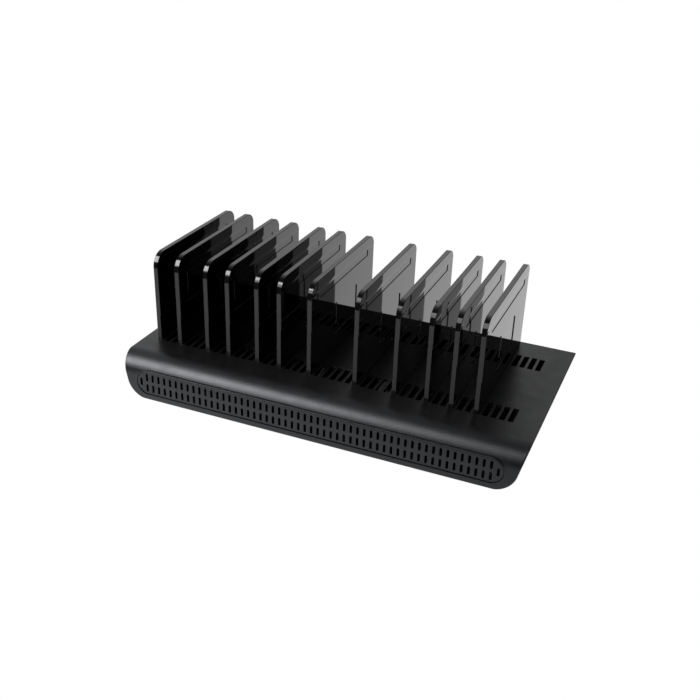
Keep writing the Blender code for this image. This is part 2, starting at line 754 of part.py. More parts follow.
def flanged_body(name, width, height, depth, border, location, material):
    """A connector body behind the port panel, with a thin flange in front of it. Y = 0 is its face."""
    body = boxes(
        name,
        [((width, depth, height), (0, -depth / 2, 0))],
        PARTS,
        material,
        location,
    )
    flange = boxes(
        name + "_flange_form",
        [
            (
                (width + 2 * border, FLANGE_THICKNESS, height + 2 * border),
                (0, -FLANGE_THICKNESS / 2, 0),
            )
        ],
        CUTTERS,
        location=location,
    )
    join(body, flange)
    return body


def make_mains_inlet(plastic, metal):
    face_y = PORT_FACE_Y + GAP + FLANGE_THICKNESS
    z = connector_z(INLET_HEIGHT)
    location = (INLET_X, face_y, z)
    body = flanged_body(
        "mains_inlet", INLET_WIDTH, INLET_HEIGHT, INLET_DEPTH, CONNECTOR_BORDER, location, plastic
    )
    socket = plate(
        "inlet_socket_cutter",
        [stadium(INLET_SOCKET_LENGTH, INLET_HEIGHT - 2 * INLET_RIM)],
        2 * INLET_SOCKET_DEPTH,
        UPRIGHT_XZ,
        CUTTERS,
        location=location,
    )
    pin_places = [side * PIN_SPACING / 2 for side in (-1, 1)]
    bores = cylinders(
        "pin_bore_cutter",
        [(PIN_RADIUS + GAP, x, 0, -INLET_DEPTH - OVERRUN, 0) for x in pin_places],
        CUTTERS,
        turn=ALONG_Y,
        location=location,
        steps=SMALL_STEPS,
    )
    cut(body, socket, bores)
    for number, x in enumerate(pin_places, 1):
        cylinders(
            f"inlet_pin_{number}",
            [(PIN_RADIUS, 0, 0, -INLET_DEPTH - PIN_TAIL, -PIN_SETBACK)],
            PARTS,
            metal,
            turn=ALONG_Y,
            location=(INLET_X + x, face_y, z),
            steps=SMALL_STEPS,
        )


def make_power_switch(plastic, rocker_material):
    face_y = PORT_FACE_Y + GAP + FLANGE_THICKNESS
    z = connector_z(SWITCH_HEIGHT)
    body = flanged_body(
        "switch_housing",
        SWITCH_WIDTH,
        SWITCH_HEIGHT,
        SWITCH_DEPTH,
        CONNECTOR_BORDER,
        (SWITCH_X, face_y, z),
        plastic,
    )
    inner = (SWITCH_WIDTH - 2 * SWITCH_WALL, SWITCH_DEPTH - SWITCH_WALL, SWITCH_HEIGHT - 2 * SWITCH_WALL)
    cavity = boxes(
        "switch_cutter",
        [((inner[0], inner[1] + OVERRUN, inner[2]), (0, (OVERRUN - inner[1]) / 2, 0))],
        CUTTERS,
        location=(SWITCH_X, face_y, z),
    )
    cut(body, cavity)
    outline = [
        (-ROCKER_HALF_LENGTH, ROCKER_TIP_RISE),
        (-ROCKER_ROOT_HALF_LENGTH, -ROCKER_ROOT_DROP),
        (ROCKER_ROOT_HALF_LENGTH, -ROCKER_ROOT_DROP),
        (ROCKER_HALF_LENGTH, ROCKER_TIP_RISE),
        (0, ROCKER_DIP_RISE),
    ]
    plate(
        "power_rocker",
        [outline],
        inner[2] - 2 * GAP,
        Matrix.Rotation(-ROCKER_TILT, 4, "Z"),
        PARTS,
        rocker_material,
        (SWITCH_X, face_y - ROCKER_PIVOT_SETBACK, z),
    )


def make_bottom_cover(material):
    bottom = boxes(
        "bottom_cover",
        [
            (
                (2 * (OPENING_HALF_X - GAP), 2 * (OPENING_HALF_Y - GAP), WALL),
                (0, 0, Z_BOTTOM + WALL / 2),
            )
        ],
        PARTS,
        material,
    )
    standoffs = cylinders(
        "standoff_form",
        [
            (
                STANDOFF_RADIUS,
                share_x * BOARD_LENGTH,
                BOARD_Y + share_y * BOARD_DEPTH,
                Z_FLOOR - EMBED,
                BOARD_UNDERSIDE_Z - GAP,
            )
            for share_x in STANDOFF_X_SHARES
            for share_y in STANDOFF_Y_SHARES
        ],
        CUTTERS,
        steps=SMALL_STEPS,
    )
    join(bottom, standoffs)
    pockets = cylinders(
        "foot_pocket_cutter",
        [(FOOT_RADIUS + GAP, x, y, Z_BOTTOM - OVERRUN, Z_BOTTOM + FOOT_POCKET) for x, y in FOOT_PLACES],
        CUTTERS,
    )
    counterbores = cylinders(
        "counterbore_cutter",
        [
            (SCREW_HEAD_RADIUS + GAP, x, y, Z_BOTTOM - OVERRUN, Z_BOTTOM + SCREW_SINK)
            for x, y in BOSS_PLACES
        ],
        CUTTERS,
        steps=SMALL_STEPS,
    )
    bores = cylinders(
        "screw_bore_cutter",
        [(SCREW_SHANK_RADIUS + GAP, x, y, Z_BOTTOM, Z_FLOOR + OVERRUN) for x, y in BOSS_PLACES],
        CUTTERS,
        steps=SMALL_STEPS,
    )
    cut(bottom, pockets, counterbores, bores)


def make_feet(material):
    height = FOOT_PROUD + FOOT_POCKET - GAP
    for number, (x, y) in enumerate(FOOT_PLACES, 1):
        cylinders(
            f"rubber_foot_{number}",
            [(FOOT_RADIUS, 0, 0, 0, height)],
            PARTS,
            material,
            location=(x, y, 0),
        )


def make_screws(material):
    """Driven in from below, the head in its counterbore, with a cross cut in it."""
    seat = Z_BOTTOM + SCREW_SINK - GAP
    for number, (x, y) in enumerate(BOSS_PLACES, 1):
        profile = [
            (0, seat + SCREW_SHANK_LENGTH),
            (SCREW_SHANK_RADIUS, seat + SCREW_SHANK_LENGTH),
            (SCREW_SHANK_RADIUS, seat),
            (SCREW_HEAD_RADIUS, seat),
            (SCREW_HEAD_RADIUS, seat - SCREW_HEAD_HEIGHT),
            (0, seat - SCREW_HEAD_HEIGHT),
        ]
        screw = turned(f"screw_{number}", profile, PARTS, material, (x, y, 0), SMALL_STEPS)
        reach = 2 * SCREW_HEAD_RADIUS - 2 * SCREW_SHANK_RADIUS
        floor_z = seat - SCREW_HEAD_HEIGHT + CROSS_DEPTH
        for name, size_x, size_y in (("a", reach, CROSS_WIDTH), ("b", CROSS_WIDTH, reach)):
            groove = boxes(
                f"screw_{number}_groove_{name}",
                [((size_x, size_y, 2 * CROSS_DEPTH), (x, y, floor_z - CROSS_DEPTH))],
                CUTTERS,
            )
            cut(screw, groove)


def build():
    housing = make_material("satin_black_plastic", (0.045, 0.045, 0.048), 0.35)
    gloss = make_material("gloss_black_plastic", (0.01, 0.01, 0.01), 0.05)
    dark = make_material("black_plastic", (0.02, 0.02, 0.02), 0.4)
    steel = make_material("plated_steel", (0.6, 0.6, 0.6), 0.3, metallic=1.0)
    board = make_material("green_board", (0.03, 0.16, 0.06), 0.5)
    ferrite = make_material("ferrite", (0.08, 0.08, 0.09), 0.6)
    sleeve = make_material("capacitor_sleeve", (0.05, 0.07, 0.16), 0.35)
    copper = make_material("enamelled_copper", (0.55, 0.25, 0.10), 0.35, metallic=1.0)
    glass = make_material("fuse_glass", (0.75, 0.78, 0.78), 0.1)
    aluminium = make_material("aluminium", (0.65, 0.66, 0.68), 0.4, metallic=1.0)
    rubber = make_material("rubber", (0.03, 0.03, 0.03), 0.8)

    make_top_cover(housing)
    make_vent_grille(housing)
    make_port_panel(dark)
    make_bottom_cover(housing)
    make_dividers(gloss)
    make_usb_sockets(steel, dark)
    make_main_board(board)
    make_transformer(ferrite)
    make_capacitors(sleeve)
    make_ring_choke(copper)
    make_fuse(glass)
    make_heat_sinks(aluminium)
    make_mains_inlet(dark, steel)
    make_power_switch(dark, dark)
    make_feet(rubber)
    make_screws(steel)


clear_scene()
PARTS = make_collection("charging_station")
CUTTERS = make_collection("cutters")
build()
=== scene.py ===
"""Looks for a desk charging station: a satin black base, glossy black dividers and a white studio."""

import json
from math import atan2, cos, pi, radians, sin, sqrt, tan

import bmesh
import bpy
from mathutils import Matrix, Vector


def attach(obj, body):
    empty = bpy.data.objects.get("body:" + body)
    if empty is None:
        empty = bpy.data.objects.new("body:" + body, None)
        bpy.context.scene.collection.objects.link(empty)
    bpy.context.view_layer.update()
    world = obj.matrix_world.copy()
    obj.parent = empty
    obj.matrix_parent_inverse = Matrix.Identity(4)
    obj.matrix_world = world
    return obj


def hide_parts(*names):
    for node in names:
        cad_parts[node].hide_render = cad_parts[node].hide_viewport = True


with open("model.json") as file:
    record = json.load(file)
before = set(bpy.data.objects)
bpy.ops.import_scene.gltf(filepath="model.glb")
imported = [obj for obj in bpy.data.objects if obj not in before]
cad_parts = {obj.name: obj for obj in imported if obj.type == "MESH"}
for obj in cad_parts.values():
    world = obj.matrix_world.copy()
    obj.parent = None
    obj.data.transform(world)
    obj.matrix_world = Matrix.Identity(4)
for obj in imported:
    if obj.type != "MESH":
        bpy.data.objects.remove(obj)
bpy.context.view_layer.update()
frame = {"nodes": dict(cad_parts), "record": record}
NODES = frame["nodes"]

# Base, in metres, as in the model
GAP = 0.0003
WALL = 0.0025
BASE_LENGTH = 0.330
BASE_DEPTH = 0.1673
Z_BOTTOM = 0.002
Z_TOP = 0.0365
Z_FLOOR = Z_BOTTOM + WALL
Z_CEILING = Z_TOP - WALL
Y_FRONT = -BASE_DEPTH / 2
Y_REAR = BASE_DEPTH / 2
END_TAPER = radians(14.2)
END_RADIUS = 0.018
ROUND_DEPTH = 0.018
ROUND_HEIGHT = 0.016
FRONT_LEAN = 0.0011
CORNER_Z = Z_BOTTOM + END_RADIUS
CORNER_X = BASE_LENGTH / 2 - tan(END_TAPER) * (Z_TOP - CORNER_Z) - END_RADIUS / cos(END_TAPER)
ROUND_Z = Z_TOP - ROUND_HEIGHT
ROUND_Y = Y_FRONT + FRONT_LEAN + ROUND_DEPTH
TOP_EDGE = 0.0005  # rounding of the top's edges at the ends
REAR_EDGE = 0.00035
REAR_CORNER = 0.0008
FOOT_EDGE = 0.0007  # rounding of the front face's lower edge
CREASE = 0.0012  # rounding where the front meets the ends
CREASE_LEAST = 0.00008  # the same at the very top
CREASE_START = 0.0002  # how far below the top it begins to grow
CREASE_RUN = 0.006  # the height over which it grows
INNER_CORNER = 0.001
ROUND_STEPS = 26
END_STEPS = 18
INNER_ROUND_STEPS = 12
INNER_END_STEPS = 8
OVER = 0.0003  # how far a cutter passes the surface that it cuts
OPENING_MARGIN_X = 0.0043  # between the bottom opening and where the lower corners begin
OPENING_MARGIN_Y = 0.0060
OPENING_HALF_X = CORNER_X - OPENING_MARGIN_X
OPENING_HALF_Y = BASE_DEPTH / 2 - OPENING_MARGIN_Y
OPENING_CUT = 0.008
GRILLE_CUT = 0.02
PORT_CUT = 0.01

# Slots
SLOT_COUNT = 47
FIRST_SLOT_X = -0.1515
SLOT_PITCH = 0.0064
SLOT_WIDTH = 0.00395
SLOT_LENGTH = 0.0197
FRONT_SLOT_MARGIN = 0.0379
REAR_SLOT_MARGIN = 0.0251
FRONT_SLOT_Y = Y_FRONT + FRONT_SLOT_MARGIN + SLOT_LENGTH / 2
REAR_SLOT_Y = Y_REAR - REAR_SLOT_MARGIN - SLOT_LENGTH / 2
SLOT_CHAMFER = 0.0002
SLOT_OVER = 0.001  # how far the cutters pass the top wall

# Dividers
DIVIDER_SLOTS = (0, 3, 7, 10, 14, 17, 21, 27, 32, 36, 39, 42)
PLATE = 0.00374
PLATE_HEIGHT = 0.0741
PLATE_REAR_MARGIN = 0.0045
PLATE_FRONT_RADIUS = 0.012
PLATE_REAR_RADIUS = 0.010
PLATE_FRONT = FRONT_SLOT_Y - SLOT_LENGTH / 2
PLATE_REAR = Y_REAR - PLATE_REAR_MARGIN
PLATE_FOOT = Z_TOP + GAP
PLATE_TOP = PLATE_FOOT + PLATE_HEIGHT
PLATE_EDGE = 0.00025
NOTCH_LOW = 0.0024  # the plate is a little shorter below this height over its foot
NOTCH_HIGH = 0.0028
TAB_REACH = 0.0045  # below the cover's top wall
TAB_DRAFT = 0.0012
BAND_FRONT = -0.0302  # shallow band below the plate's top
BAND_REAR = 0.0659
BAND_LOW = 0.0955
BAND_HIGH = 0.1006
BAND_CORNER = 0.0006
BAND_RIM = 0.0004
BAND_RIM_STEPS = 6
BAND_DEPTH = 0.00045
HEAD_LOW = 0.1008  # thicker part of the plate above the band
HEAD_HIGH = 0.1040
HEAD_SWELL = 0.0001
HEAD_LEAN = 0.01
HEAD_CORE = 0.0015  # only what is further than this from the plate's middle moves in full
HEAD_STEPS = 6
RIB_WIDTH = 0.0006
RIB_HEIGHT = 0.00055
RIB_EDGE = 0.00006
RIBS = (  # raised lines, from end to end, as (y, z) points
    [(0.04235, 0.0781), (0.04235, 0.0565)],
    [(0.0361, 0.0528), (-0.0020, 0.0528)],
    [(0.00105, 0.0788), (0.00105, 0.0610)],
)
RIB_LIMIT = BAND_LOW - 0.001  # all lines end below this
RIB_PROUD = 0.00002  # what stands out by more than this belongs to a line
CORNER_LIMIT = PLATE_TOP - 0.0122  # the front corner begins above this

# Grille
GRILLE_END_MARGIN = 0.0145
GRILLE_X = BASE_LENGTH / 2 - GRILLE_END_MARGIN
GRILLE_Z = 0.0165
GRILLE_HALF = 0.0101
GRILLE_RECESS = 0.00104
GRILLE_FACE = Y_FRONT + GRILLE_RECESS
GRILLE_THICKNESS = 0.0018
GRILLE_EDGE = 0.0002
GRILLE_COLUMNS = 54
LAST_VENT_MARGIN = 0.00415
LAST_VENT_X = GRILLE_X - LAST_VENT_MARGIN
VENT_WIDTH = 0.0020
VENT_HEIGHT = 0.0068
VENT_SPACING = 0.00935
COLLAR_WIDTH = 0.0009  # the opening's rim, which runs on behind the cover's wall
COLLAR_DEPTH = 0.0030
COLLAR_EDGE = 0.00035
COLLAR_PROUD = 0.0003

# Ports
PORT_HALF_X = 0.135
PORT_Z = 0.0165
PORT_HALF = 0.0101
PORT_OVERLAP = 0.0014
PORT_THICKNESS = 0.0020
PORT_FACE = Y_REAR - WALL - GAP
PORT_MOUTH = PORT_FACE + GAP
PORT_CHAMFER = 0.0003
PORT_EDGE = 0.00015
PORT_HOLE = (0.0006, 0.0012)  # how much larger than the shell, and corner radius
PORT_FRAME_OUTER = (0.0013, 0.0019)
PORT_FRAME_INNER = (0.0003, 0.0009)
PORT_FRAME = 0.0012
PORT_FRAME_SINK = 0.0002
PORT_COUNT = 10
PORT_PITCH = 0.0190
SHELL_Z = 0.0154
SHELL_HALF_X = 0.0066
SHELL_HALF_Z = 0.0029
SHELL_WALL = 0.00035
SHELL_DEPTH = 0.0135
SHELL_PROFILE = (  # how much smaller than the shell, corner radius, depth behind the mouth
    (0, 0.0009, SHELL_DEPTH),
    (0, 0.0009, 0.0011),
    (-0.00006, 0.00095, 0.0006),
    (-0.00016, 0.00105, 0.00025),
    (-0.00018, 0.00107, 0.0001),
    (-0.00012, 0.00101, 0.0),
    (0.00003, 0.00086, 0.0),
    (0.00010, 0.00079, 0.0001),
    (0.00024, 0.00065, 0.0005),
    (SHELL_WALL, 0.00055, 0.0012),
    (SHELL_WALL, 0.00055, SHELL_DEPTH),
)
SEAM_SIZE = (0.00016, 0.012, 0.001)
SPRING_X = 0.0031
SPRING_WIDTH = 0.0017
SPRING_THICKNESS = 0.0002
SPRING_EDGE = 0.00003
SPRING_LINE = (  # from the mouth, and from the shell's inner face
    (-0.0100, 0.00002),
    (-0.0070, -0.0001),
    (-0.0040, -0.00045),
    (-0.0034, -0.00048),
    (-0.0028, -0.00040),
    (-0.0020, -0.0001),
)
TONGUE_BLOCK = 0.003
TONGUE_SETBACK = 0.0015
TONGUE_THICKNESS = 0.0018
TONGUE_EDGE = 0.00015
CONTACT_X = (-0.0035, -0.0010, 0.0010, 0.0035)
CONTACT_HALF = 0.0005
CONTACT_MARGIN = 0.0006  # from either end of the tongue
CONTACT_RADIUS = 0.0002
CONTACT_THICKNESS = 0.0003
CONTACT_EDGE = 0.00004
CONTACT_SINK = 0.00003
CONNECTOR_X = 0.115  # the inlet on one side and the switch on the other
CONNECTOR_Z = 0.0185
CONNECTOR_HALF_Z = 0.0060
CONNECTOR_RADIUS = 0.0006
FLANGE = 0.0012
FLANGE_BORDER = 0.0010
FLANGE_PROFILE = (  # how much larger than the body, corner radius, depth behind the mouth
    (0, CONNECTOR_RADIUS, FLANGE),
    (FLANGE_BORDER - 0.0001, 0.0015, FLANGE),
    (FLANGE_BORDER, 0.0016, FLANGE - 0.0001),
    (FLANGE_BORDER, 0.0016, 0.0004),
    (FLANGE_BORDER - 0.00005, 0.00155, 0.0002),
    (FLANGE_BORDER - 0.0002, 0.0014, 0.00005),
    (FLANGE_BORDER - 0.0004, 0.0012, 0.0),
)
CONNECTOR_FACE = PORT_MOUTH + FLANGE
MOUTH_OVER = 0.0001  # how far a cutter passes a mouth
INLET_HALF_X = 0.011
INLET_DEPTH = 0.018
SOCKET_HALF_X = 0.0085
SOCKET_HALF_Z = 0.0042
SOCKET_DEPTH = 0.014
SOCKET_FLARE = 0.0007
SOCKET_FLARE_DEPTH = 0.0006
PIN_RADIUS = 0.0012
PIN_X = 0.0043
PIN_TIP = 0.004  # depths behind the inlet's mouth
PIN_TAIL = 0.020
BORE_DEPTHS = (0.010, 0.020)
PIN_EDGE = 0.0002
PIN_TIP_LENGTH = 0.0008
PIN_TIP_RADIUS = 0.0004
SWITCH_HALF_X = 0.0095
SWITCH_DEPTH = 0.013
SWITCH_WALL = 0.0014
SWITCH_RADIUS = 0.0005
SWITCH_FLARE = 0.0005
SWITCH_FLARE_DEPTH = 0.0004
ROCKER_SETBACK = 0.0046
ROCKER_TILT = radians(-10)
ROCKER_HEIGHT = 0.0086
ROCKER_DIP = 0.0030  # from the pivot to the hollow in the middle of its face
ROCKER_RISE = 0.0016  # from there to a tip
ROCKER_REACH = 0.0065
ROCKER_ROOT_X = 0.0050
ROCKER_ROOT_DROP = 0.0020
ROCKER_EDGE = 0.00025
MARK_X = 0.0037
MARK_LINE = (0.0005, 0.0028)  # width and height
MARK_RING = (0.0013, 0.00085)  # outer and inner radius
MARK_THICKNESS = 0.0003
MARK_EDGE = 0.00003

# Edges of the model's own pieces, rounded by this much
ROUNDED_NODES = {
    "main_board": 0.0002,
    "transformer": 0.0004,
    "heat_sink_1": 0.0002,
    "heat_sink_2": 0.0002,
}

# Feet and screws
SCREW_RADIUS = 0.0026
SHANK_RADIUS = 0.00115
SCREW_SINK = 0.0015
SCREW_HEAD = 0.0012
SCREW_REACH = 0.0102
SCREW_POINT = 0.001
SCREW_CROWN = ((0.0008, 0.0), (0.0018, 0.00008), (0.0023, 0.00025), (SCREW_RADIUS, 0.0006))
SCREW_CROSS = (  # depth in the head, half length and half width of the cross recess
    (-0.0002, 0.00152, 0.00040),
    (0.0006, 0.00115, 0.00026),
    (0.0009, 0.0005, 0.00020),
)
SCREW_PLACES = [(x, y) for x in (-0.0995, 0.0995) for y in (-0.06195, 0.06395)]
FOOT_RADIUS = 0.0060
FOOT_TOP = 0.0029
FOOT_RIM = 0.0007
FOOT_CHAMFER = 0.0002
FOOT_DISH = [(0.0010, 0.00035), (0.0030, 0.00032), (0.0037, 0.0001), (0.0040, 0.0)]
FOOT_SINK = 0.0012
FOOT_PLACES = [(x, y) for x in (-0.125, 0.125) for y in (-0.068, 0.068)]

# Bottom cover, with standoffs for the board
BOTTOM_CORNER = 0.0004
BOTTOM_EDGE = 0.00025
POCKET_FLARE = 0.0005
POCKET_FLARE_DEPTH = 0.0002
STANDOFF_RADIUS = 0.0030
STANDOFF_CHAMFER = 0.0003
STANDOFF_EMBED = 0.0002
STANDOFF_TOP = 0.0103
STANDOFF_PLACES = [(x, y) for x in (-0.12144, -0.0528, 0.0528, 0.12144) for y in (-0.03973, 0.04663)]

FLAT = Matrix.Identity(4)
UPRIGHT_XZ = Matrix.Rotation(pi / 2, 4, "X")
UPRIGHT_YZ = Matrix(((0, 0, 1, 0), (1, 0, 0, 0), (0, 1, 0, 0), (0, 0, 0, 1)))


# Materials

PLASTIC_CLOUDS = 35.0
PLASTIC_SMEARS = 90.0
METAL_CLOUDS = 120.0
METAL_SMEARS = 300.0


def new_material(name):
    material = bpy.data.materials.new(name)
    material.use_nodes = True
    tree = material.node_tree
    shader = tree.nodes["Principled BSDF"]
    return material, tree, shader


def add_node(tree, kind, **settings):
    node = tree.nodes.new(kind)
    for key, value in settings.items():
        setattr(node, key, value)
    return node


def noise(tree, scale, detail=2.0, rough=0.5):
    place = add_node(tree, "ShaderNodeTexCoord")
    texture = add_node(tree, "ShaderNodeTexNoise")
    texture.inputs["Scale"].default_value = scale
    texture.inputs["Detail"].default_value = detail
    texture.inputs["Roughness"].default_value = rough
    tree.links.new(place.outputs["Object"], texture.inputs["Vector"])
    return texture.outputs["Fac"]


def spread(tree, source, low, high, start=0.3, end=0.7):
    """A number that goes from low to high as source goes from start to end."""
    node = add_node(tree, "ShaderNodeMapRange")
    node.inputs["From Min"].default_value = start
    node.inputs["From Max"].default_value = end
    node.inputs["To Min"].default_value = low
    node.inputs["To Max"].default_value = high
    tree.links.new(source, node.inputs["Value"])
    return node.outputs["Result"]


def blend_colours(tree, factor, first, second):
    node = add_node(tree, "ShaderNodeMix", data_type="RGBA")
    node.inputs["A"].default_value = (*first, 1)
    node.inputs["B"].default_value = (*second, 1)
    tree.links.new(factor, node.inputs["Factor"])
    return node.outputs["Result"]


def bump(tree, shader, height, strength, distance):
    node = add_node(tree, "ShaderNodeBump")
    node.inputs["Strength"].default_value = strength
    node.inputs["Distance"].default_value = distance
    tree.links.new(height, node.inputs["Height"])
    tree.links.new(node.outputs["Normal"], shader.inputs["Normal"])


def plastic(name, dark, light, rough, grain, strength, depth, ior=1.5, level=0.5, tint=(1, 1, 1)):
    """Moulded plastic: cloudy colour, uneven gloss and a fine grain."""
    material, tree, shader = new_material(name)
    clouds = noise(tree, PLASTIC_CLOUDS, 3.0)
    tree.links.new(blend_colours(tree, clouds, dark, light), shader.inputs["Base Color"])
    tree.links.new(spread(tree, noise(tree, PLASTIC_SMEARS, 4.0), *rough), shader.inputs["Roughness"])
    shader.inputs["IOR"].default_value = ior
    shader.inputs["Specular IOR Level"].default_value = level
    shader.inputs["Specular Tint"].default_value = (*tint, 1)
    bump(tree, shader, noise(tree, grain, 2.0), strength, depth)
    return material


def metal(name, dark, light, rough, grain, strength, depth):
    """Plated or bare metal with fine uneven marks."""
    material, tree, shader = new_material(name)
    clouds = noise(tree, METAL_CLOUDS, 4.0)
    tree.links.new(blend_colours(tree, clouds, dark, light), shader.inputs["Base Color"])
    tree.links.new(spread(tree, noise(tree, METAL_SMEARS, 4.0), *rough), shader.inputs["Roughness"])
    shader.inputs["Metallic"].default_value = 1.0
    bump(tree, shader, noise(tree, grain, 3.0), strength, depth)
    return material


def grey(level):
    return (level, level, level)


SATIN = plastic(
    "satin_black", (0.0020, 0.0020, 0.0022), (0.0034, 0.0034, 0.0037), (0.36, 0.43), 1300.0, 0.35, 0.0002,
    tint=(0.92, 0.95, 1.0),
)
GLOSS = plastic(
    "gloss_black", (0.0020, 0.0020, 0.0021), (0.0030, 0.0030, 0.0031), (0.02, 0.05), 60.0, 0.02, 0.0002,
    ior=1.52,
)
CORNER = plastic(
    "gloss_corner", (0.0020, 0.0020, 0.0021), (0.0030, 0.0030, 0.0031), (0.09, 0.12), 60.0, 0.02, 0.0002,
    ior=1.52, level=0.38,
)
# The plates' front edges have a real satin finish. Their grey colour is painted reflection, which stands in
# for the floor mirrored in the edge.
EDGE_REFLECTION_GREY = plastic("satin_edge_painted_reflection", grey(0.034), grey(0.040), (0.55, 0.65), 2200.0, 0.15, 0.0001, level=0.04)
# The raised lines on the plates: their light grey is a painted highlight, which stands in for the light
# strokes that the lines catch.
LINE_PAINTED_HIGHLIGHT = plastic("satin_line_painted_highlight", grey(0.16), grey(0.18), (0.4, 0.5), 2200.0, 0.15, 0.0001, level=0.1)
MATTE = plastic("matte_black", grey(0.012), grey(0.018), (0.45, 0.55), 3000.0, 0.15, 0.0001)
RUBBER = plastic("rubber", grey(0.018), grey(0.028), (0.75, 0.9), 1800.0, 0.3, 0.0002)
MARK = plastic("mark_white", (0.62, 0.62, 0.60), (0.70, 0.70, 0.68), (0.45, 0.55), 2500.0, 0.1, 0.00005)
STEEL = metal("plated_steel", (0.56, 0.56, 0.55), (0.66, 0.66, 0.65), (0.22, 0.34), 900.0, 0.05, 0.0001)
GOLD = metal("gold_plate", (0.78, 0.56, 0.22), (0.86, 0.64, 0.30), (0.2, 0.3), 900.0, 0.05, 0.0001)
BOARD = plastic("black_board", (0.003, 0.006, 0.005), (0.005, 0.009, 0.007), (0.5, 0.6), 800.0, 0.1, 0.0001)
FERRITE = plastic("ferrite", (0.03, 0.03, 0.033), (0.05, 0.05, 0.055), (0.6, 0.8), 1500.0, 0.3, 0.0001)
SLEEVE = plastic("sleeve", (0.02, 0.03, 0.08), (0.03, 0.04, 0.10), (0.25, 0.35), 500.0, 0.05, 0.0001)
COPPER = metal("copper", (0.60, 0.25, 0.10), (0.70, 0.32, 0.14), (0.25, 0.4), 1200.0, 0.2, 0.0002)
ALUMINIUM = metal("aluminium", (0.60, 0.61, 0.62), (0.68, 0.69, 0.70), (0.3, 0.45), 700.0, 0.1, 0.0001)
GLASS = plastic("fuse_glass", (0.55, 0.58, 0.58), (0.65, 0.68, 0.68), (0.05, 0.12), 300.0, 0.02, 0.0001)

# What the model's own pieces wear, by their slots
FINISHES = {
    "housing": SATIN,
    "dark_plastic": MATTE,
    "steel": STEEL,
    "rubber": RUBBER,
    "board": BOARD,
    "ferrite": FERRITE,
    "sleeve": SLEEVE,
    "copper": COPPER,
    "aluminium": ALUMINIUM,
    "fuse_glass": GLASS,
}


# Shapes

SHARP_ANGLE = 50  # edges that turn by more than this stay sharp


def collect(name, mesh, material=None, smooth_angle=30):
    item = bpy.data.objects.new(name, mesh)
    bpy.context.scene.collection.objects.link(item)
    if material:
        mesh.materials.clear()
        mesh.materials.append(material)
    if smooth_angle:
        mesh.shade_smooth()
        mesh.set_sharp_from_angle(angle=radians(smooth_angle))
    return item


def evaluated(item):
    bpy.context.view_layer.update()
    graph = bpy.context.evaluated_depsgraph_get()
    return bpy.data.meshes.new_from_object(item.evaluated_get(graph))


def drop(*items):
    for item in items:
        bpy.data.objects.remove(item, do_unlink=True)


def steady_normals(item):
    """Rounded edges blend into flat faces without bending them."""
    step = item.modifiers.new("steady", "WEIGHTED_NORMAL")
    step.mode = "FACE_AREA"
    step.weight = 100
    step.keep_sharp = True
    mesh = evaluated(item)
    item.modifiers.clear()
    item.data = mesh
    return mesh


def weld(mesh, matrix=None):
    work = bmesh.new()
    work.from_mesh(mesh)
    bmesh.ops.remove_doubles(work, verts=work.verts, dist=1e-6)
    if matrix:
        bmesh.ops.transform(work, matrix=matrix, verts=work.verts)
    bmesh.ops.recalc_face_normals(work, faces=work.faces)
    work.to_mesh(mesh)
    work.free()
    return mesh


def slab(name, loops, thickness, turn, edge=0.0, material=None, place=(0, 0, 0), steps=2):
    """A flat outline, whose inner loops are holes, with a thickness and rounded edges."""
    data = bpy.data.curves.new(name, "CURVE")
    data.dimensions = "2D"
    data.fill_mode = "BOTH"
    data.extrude = thickness / 2 - edge
    data.bevel_depth = edge
    data.offset = -edge
    data.bevel_resolution = steps
    for loop in loops:
        spline = data.splines.new("POLY")
        spline.points.add(len(loop) - 1)
        for point, (u, v) in zip(spline.points, loop):
            point.co = (u, v, 0, 1)
        spline.use_cyclic_u = True
    flat = bpy.data.objects.new(name, data)
    bpy.context.scene.collection.objects.link(flat)
    mesh = weld(evaluated(flat), Matrix.Translation(place) @ turn)
    drop(flat)
    bpy.data.curves.remove(data)
    mesh.name = name
    return collect(name, mesh, material)


def arc(centre, radii, start, end, steps):
    turns = [start + (end - start) * i / steps for i in range(steps + 1)]
    return [(centre[0] + radii[0] * cos(a), centre[1] + radii[1] * sin(a)) for a in turns]


def stadium(half_length, half_height, centre=(0, 0), steps=16):
    radii = (half_height, half_height)
    reach = half_length - half_height
    right = arc((centre[0] + reach, centre[1]), radii, -pi / 2, pi / 2, steps)
    left = arc((centre[0] - reach, centre[1]), radii, pi / 2, 3 * pi / 2, steps)
    return right + left


def rounded(half_width, half_height, radius, centre=(0, 0), steps=5):
    """A rectangle with rounded corners."""
    points = []
    for number, (sx, sy) in enumerate(((1, -1), (1, 1), (-1, 1), (-1, -1))):
        corner = (centre[0] + sx * (half_width - radius), centre[1] + sy * (half_height - radius))
        start = (number - 1) * pi / 2
        points += arc(corner, (radius, radius), start, start + pi / 2, steps)
    return points


def upright(width, height, centre, steps=6):
    lying = stadium(height / 2, width / 2, (0, 0), steps)
    return [(centre[0] - v, centre[1] + u) for u, v in lying]


def boxes(name, places):
    work = bmesh.new()
    for size, centre in places:
        bmesh.ops.create_cube(work, size=1, matrix=Matrix.Translation(centre) @ Matrix.Diagonal((*size, 1)))
    mesh = bpy.data.meshes.new(name)
    work.to_mesh(mesh)
    work.free()
    return collect(name, mesh, smooth_angle=0)


def apply_boolean(item, others):
    """item with each (operation, other) carried out in turn, and the others removed."""
    for operation, other in others:
        step = item.modifiers.new("cut", "BOOLEAN")
        step.operation = operation
        step.object = other
        step.solver = "EXACT"
    mesh = evaluated(item)
    item.modifiers.clear()
    old = item.data
    item.data = mesh
    bpy.data.meshes.remove(old)
    drop(*[other for operation, other in others])
    return item


def place_all(item, body, slot, *nodes):
    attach(item, body)
    if nodes:
        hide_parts(*nodes)
    return item


# The base's form, level by level

